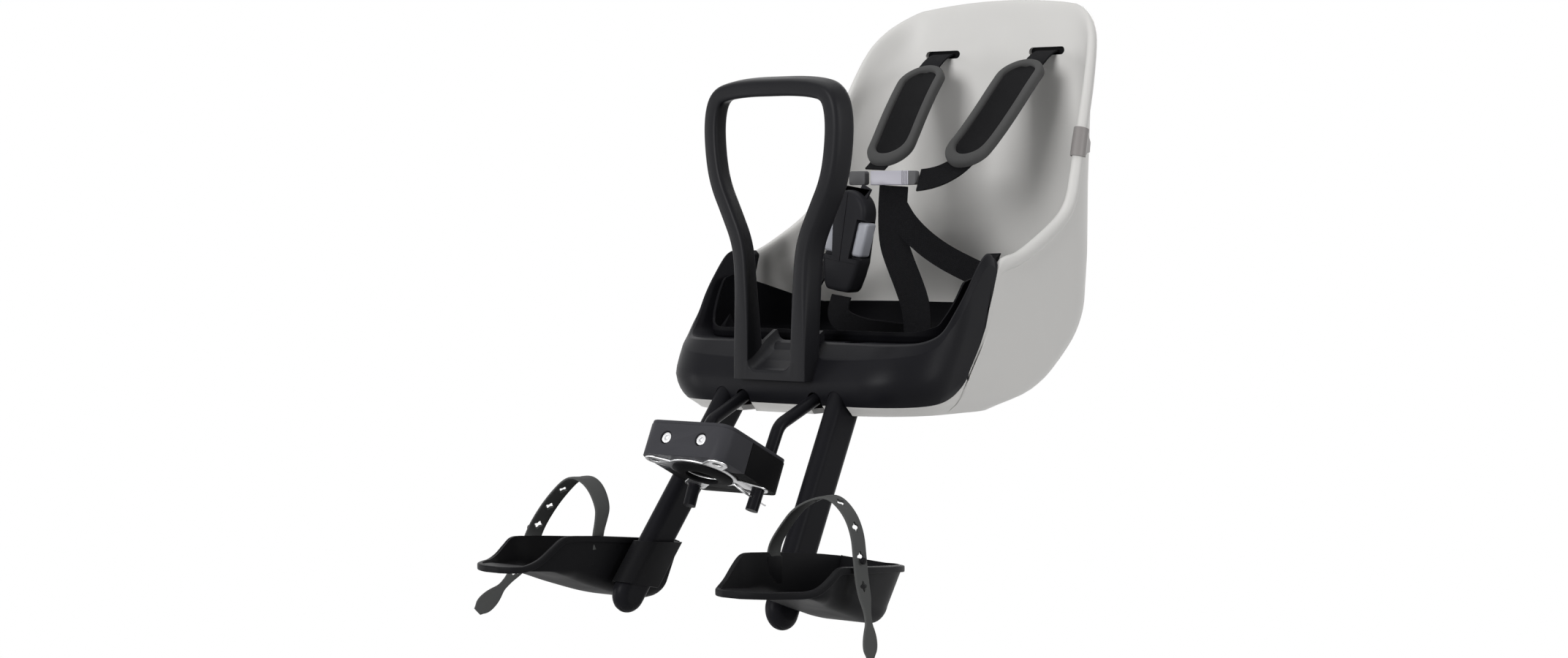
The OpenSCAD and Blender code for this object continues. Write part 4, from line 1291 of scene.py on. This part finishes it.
def build_clip():
    body = rounded(box((-23.5, -4.5, -7.25), (23.5, 4.5, 7.25)), 1.3, 3)
    bmesh.ops.translate(body, vec=(Vector((-11.5, 200, 224.5)) + SEAT) * MM, verts=body.verts)
    piece = new_object("look_chest_clip", body)
    cut(piece, *[seated(box((x, 190, 215), (x + 0.8, 196.2, 235))) for x in (4.2, 6.6, 9)])
    keep_sharp(piece, 40)
    dress(piece, CLIP_PALE, ["chest_clip"])


# Section of a rim clip: distance from the rim, how far out, share of the full length
CLIP_SECTION = [(37, 0.5, 0.22), (36, 0.6, 0.38), (33, 0.6, 0.46), (24, 0.7, 0.6),
                (17, 1.4, 0.85), (13, 3.2, 0.97), (8, 5, 1), (4.5, 4.8, 1), (1.2, 3.5, 1),
                (-0.6, 1.2, 1), (-1.5, -1.2, 1), (-1.2, -3.7, 1), (0.4, -5.4, 1),
                (3.2, -6.2, 1), (8, -6.6, 1), (14, -6.5, 0.98), (17, -6.4, 0.9),
                (18.5, -6.2, 0.72)]


def build_wing_clip(side):
    name = side_name(side)
    heights = [v.co.z / MM - SEAT.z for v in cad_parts[f"wing_clip_{name}"].data.vertices]
    low, high = min(heights) + 20, max(heights) + 9
    columns = [s for s in (i / 4000 for i in range(900, 1700)) if low < shell_top(s) < high]
    middle, half = (columns[0] + columns[-1]) / 2, (columns[-1] - columns[0]) / 2

    def place(u, v):
        b, n, share = CLIP_SECTION[round(v * (len(CLIP_SECTION) - 1))]
        s = middle + half * share * (2 * u - 1)
        along, down = rim_direction(s)
        return outline(s + along * b, shell_top(s) + down * b, -n, -n, -n)

    bm = surface(20, len(CLIP_SECTION) - 1, place)
    if side < 0:
        mirror(bm)
    rim = outline(middle, shell_top(middle) - 5)
    face_away(bm, (side * rim.x, rim.y, rim.z))
    piece = new_object(f"look_wing_clip_{name}", seated(bm))
    thicken(piece, 1.3, 1)
    keep_sharp(piece, 50)
    soften(piece, 0.4, 60)
    return dress(piece, RIM_CLIP_GREY, [f"wing_clip_{name}"])


def build_cotter():
    c, s = math.cos(math.radians(35)), math.sin(math.radians(35))
    route = [(0, 17), (0, -12), (0.6, -19), (3.5, -25), (8, -27), (11, -23.5), (10.6, -17),
             (8.8, -12), (9.4, -6), (9.9, 0), (9.6, 5), (11.5, 11)]
    line = [in_stem(37.2 - x * c, 37 + y, -28 + x * s) for x, y in route]
    bm = pipe(smooth_line(line), 0.9, 14, 160)
    piece = new_object("look_retaining_clip", bm)
    return dress(piece, STEEL, ["retaining_clip"])


# ---------------------------------------------------------------- all pieces
build_shell()
build_anchors()
build_frame()
build_pan()
build_handle()
build_fork()
for which in (-1, 1):
    build_leg(which)
    build_tray(which)
    build_foot_strap(which)
build_straps()
build_pads()
build_buckle()
build_clip()
build_cotter()
for part, finish, slot, edge in (
        ("block_body", BLOCK_BLACK, "black_casting", 1.0),
        # the block's front and cover take the lighter copy of its black, painted light
        ("block_front", BLOCK_PAINTED_LIT, "grey_casting", 1.0),
        ("block_cover", BLOCK_PAINTED_LIT, "dark_plastic", 0.9),
        ("stem_bush", BLOCK_BLACK, "dark_plastic", 0.4),
        ("lower_plate", STEEL, "bare_steel", 0.5),
        ("clamp_bolts", STEEL, "bare_steel", 0.4),
        ("clamp_nuts", STEEL, "bare_steel", 0.3),
        ("fork_clamp", STEEL, "bare_steel", 0.8)):
    refined([part], f"look_{part}", finish, edge)
refined(["strap_slider_left", "strap_slider_right"], "look_strap_sliders", SLIDER_GREY,
        0.6)
refined(["buckle_tongues"], "look_buckle_tongues", BUCKLE_DARK, 0.5)
for which in (-1, 1):
    build_wing_clip(which)
for which in ("left", "right"):
    refined([f"strap_stud_{which}"], f"look_strap_stud_{which}", TRAY_PLASTIC,
            0.6, f"footrest_{which}_slide")


# ---------------------------------------------------------------- white surroundings
WHITE = (1, 1, 1, 1)


def make_paper():
    """White paper that takes the shadow near the part and runs out into the white room."""
    made = plastic("floor white paper", (0.82, 0.82, 0.82), 0.9, 400, 0.02, 0.03)
    tree = made.node_tree
    where = node(tree, "ShaderNodeTexCoord").outputs["Object"]
    far = node(tree, "ShaderNodeVectorMath", {0: where}, operation="LENGTH").outputs["Value"]
    fade = mapped(tree, far, (0, 1), (0.75, 1.35), interpolation_type="SMOOTHSTEP")
    seen = node(tree, "ShaderNodeLightPath").outputs["Is Camera Ray"]
    glow = node(tree, "ShaderNodeEmission", {"Color": WHITE})
    mixed = node(tree, "ShaderNodeMixShader", {
        "Fac": reckon(tree, "MULTIPLY", fade, seen),
        1: tree.nodes["Principled BSDF"].outputs["BSDF"], 2: glow.outputs["Emission"]})
    tree.links.new(mixed.outputs["Shader"], tree.nodes["Material Output"].inputs["Surface"])
    return made


def build_floor():
    """A sheet of white paper well below the hanging part."""
    bm = bmesh.new()
    bmesh.ops.create_grid(bm, x_segments=1, y_segments=1, size=1.3)
    bmesh.ops.translate(bm, vec=(0, 0.1, -0.62), verts=bm.verts)
    floor = new_object("floor", bm, smooth=False)
    floor.data.materials.append(make_paper())


def build_world():
    """A dim room that shows white to the camera, through clear things and in reflections."""
    world = bpy.data.worlds.new("white room")
    bpy.context.scene.world = world
    world.use_nodes = True
    sky = world.node_tree
    sky.nodes.clear()
    rays = node(sky, "ShaderNodeLightPath").outputs
    around = node(sky, "ShaderNodeBackground", {"Color": WHITE, "Strength": 0.1})
    direct = node(sky, "ShaderNodeBackground", {"Color": WHITE, "Strength": 1.0})
    shows = reckon(sky, "MAXIMUM", rays["Is Camera Ray"], rays["Is Transmission Ray"])
    mixed = node(sky, "ShaderNodeMixShader", {
        "Fac": reckon(sky, "MAXIMUM", shows, rays["Is Glossy Ray"]),
        1: around.outputs["Background"], 2: direct.outputs["Background"]})
    node(sky, "ShaderNodeOutputWorld", {"Surface": mixed.outputs["Shader"]})


build_floor()
build_world()
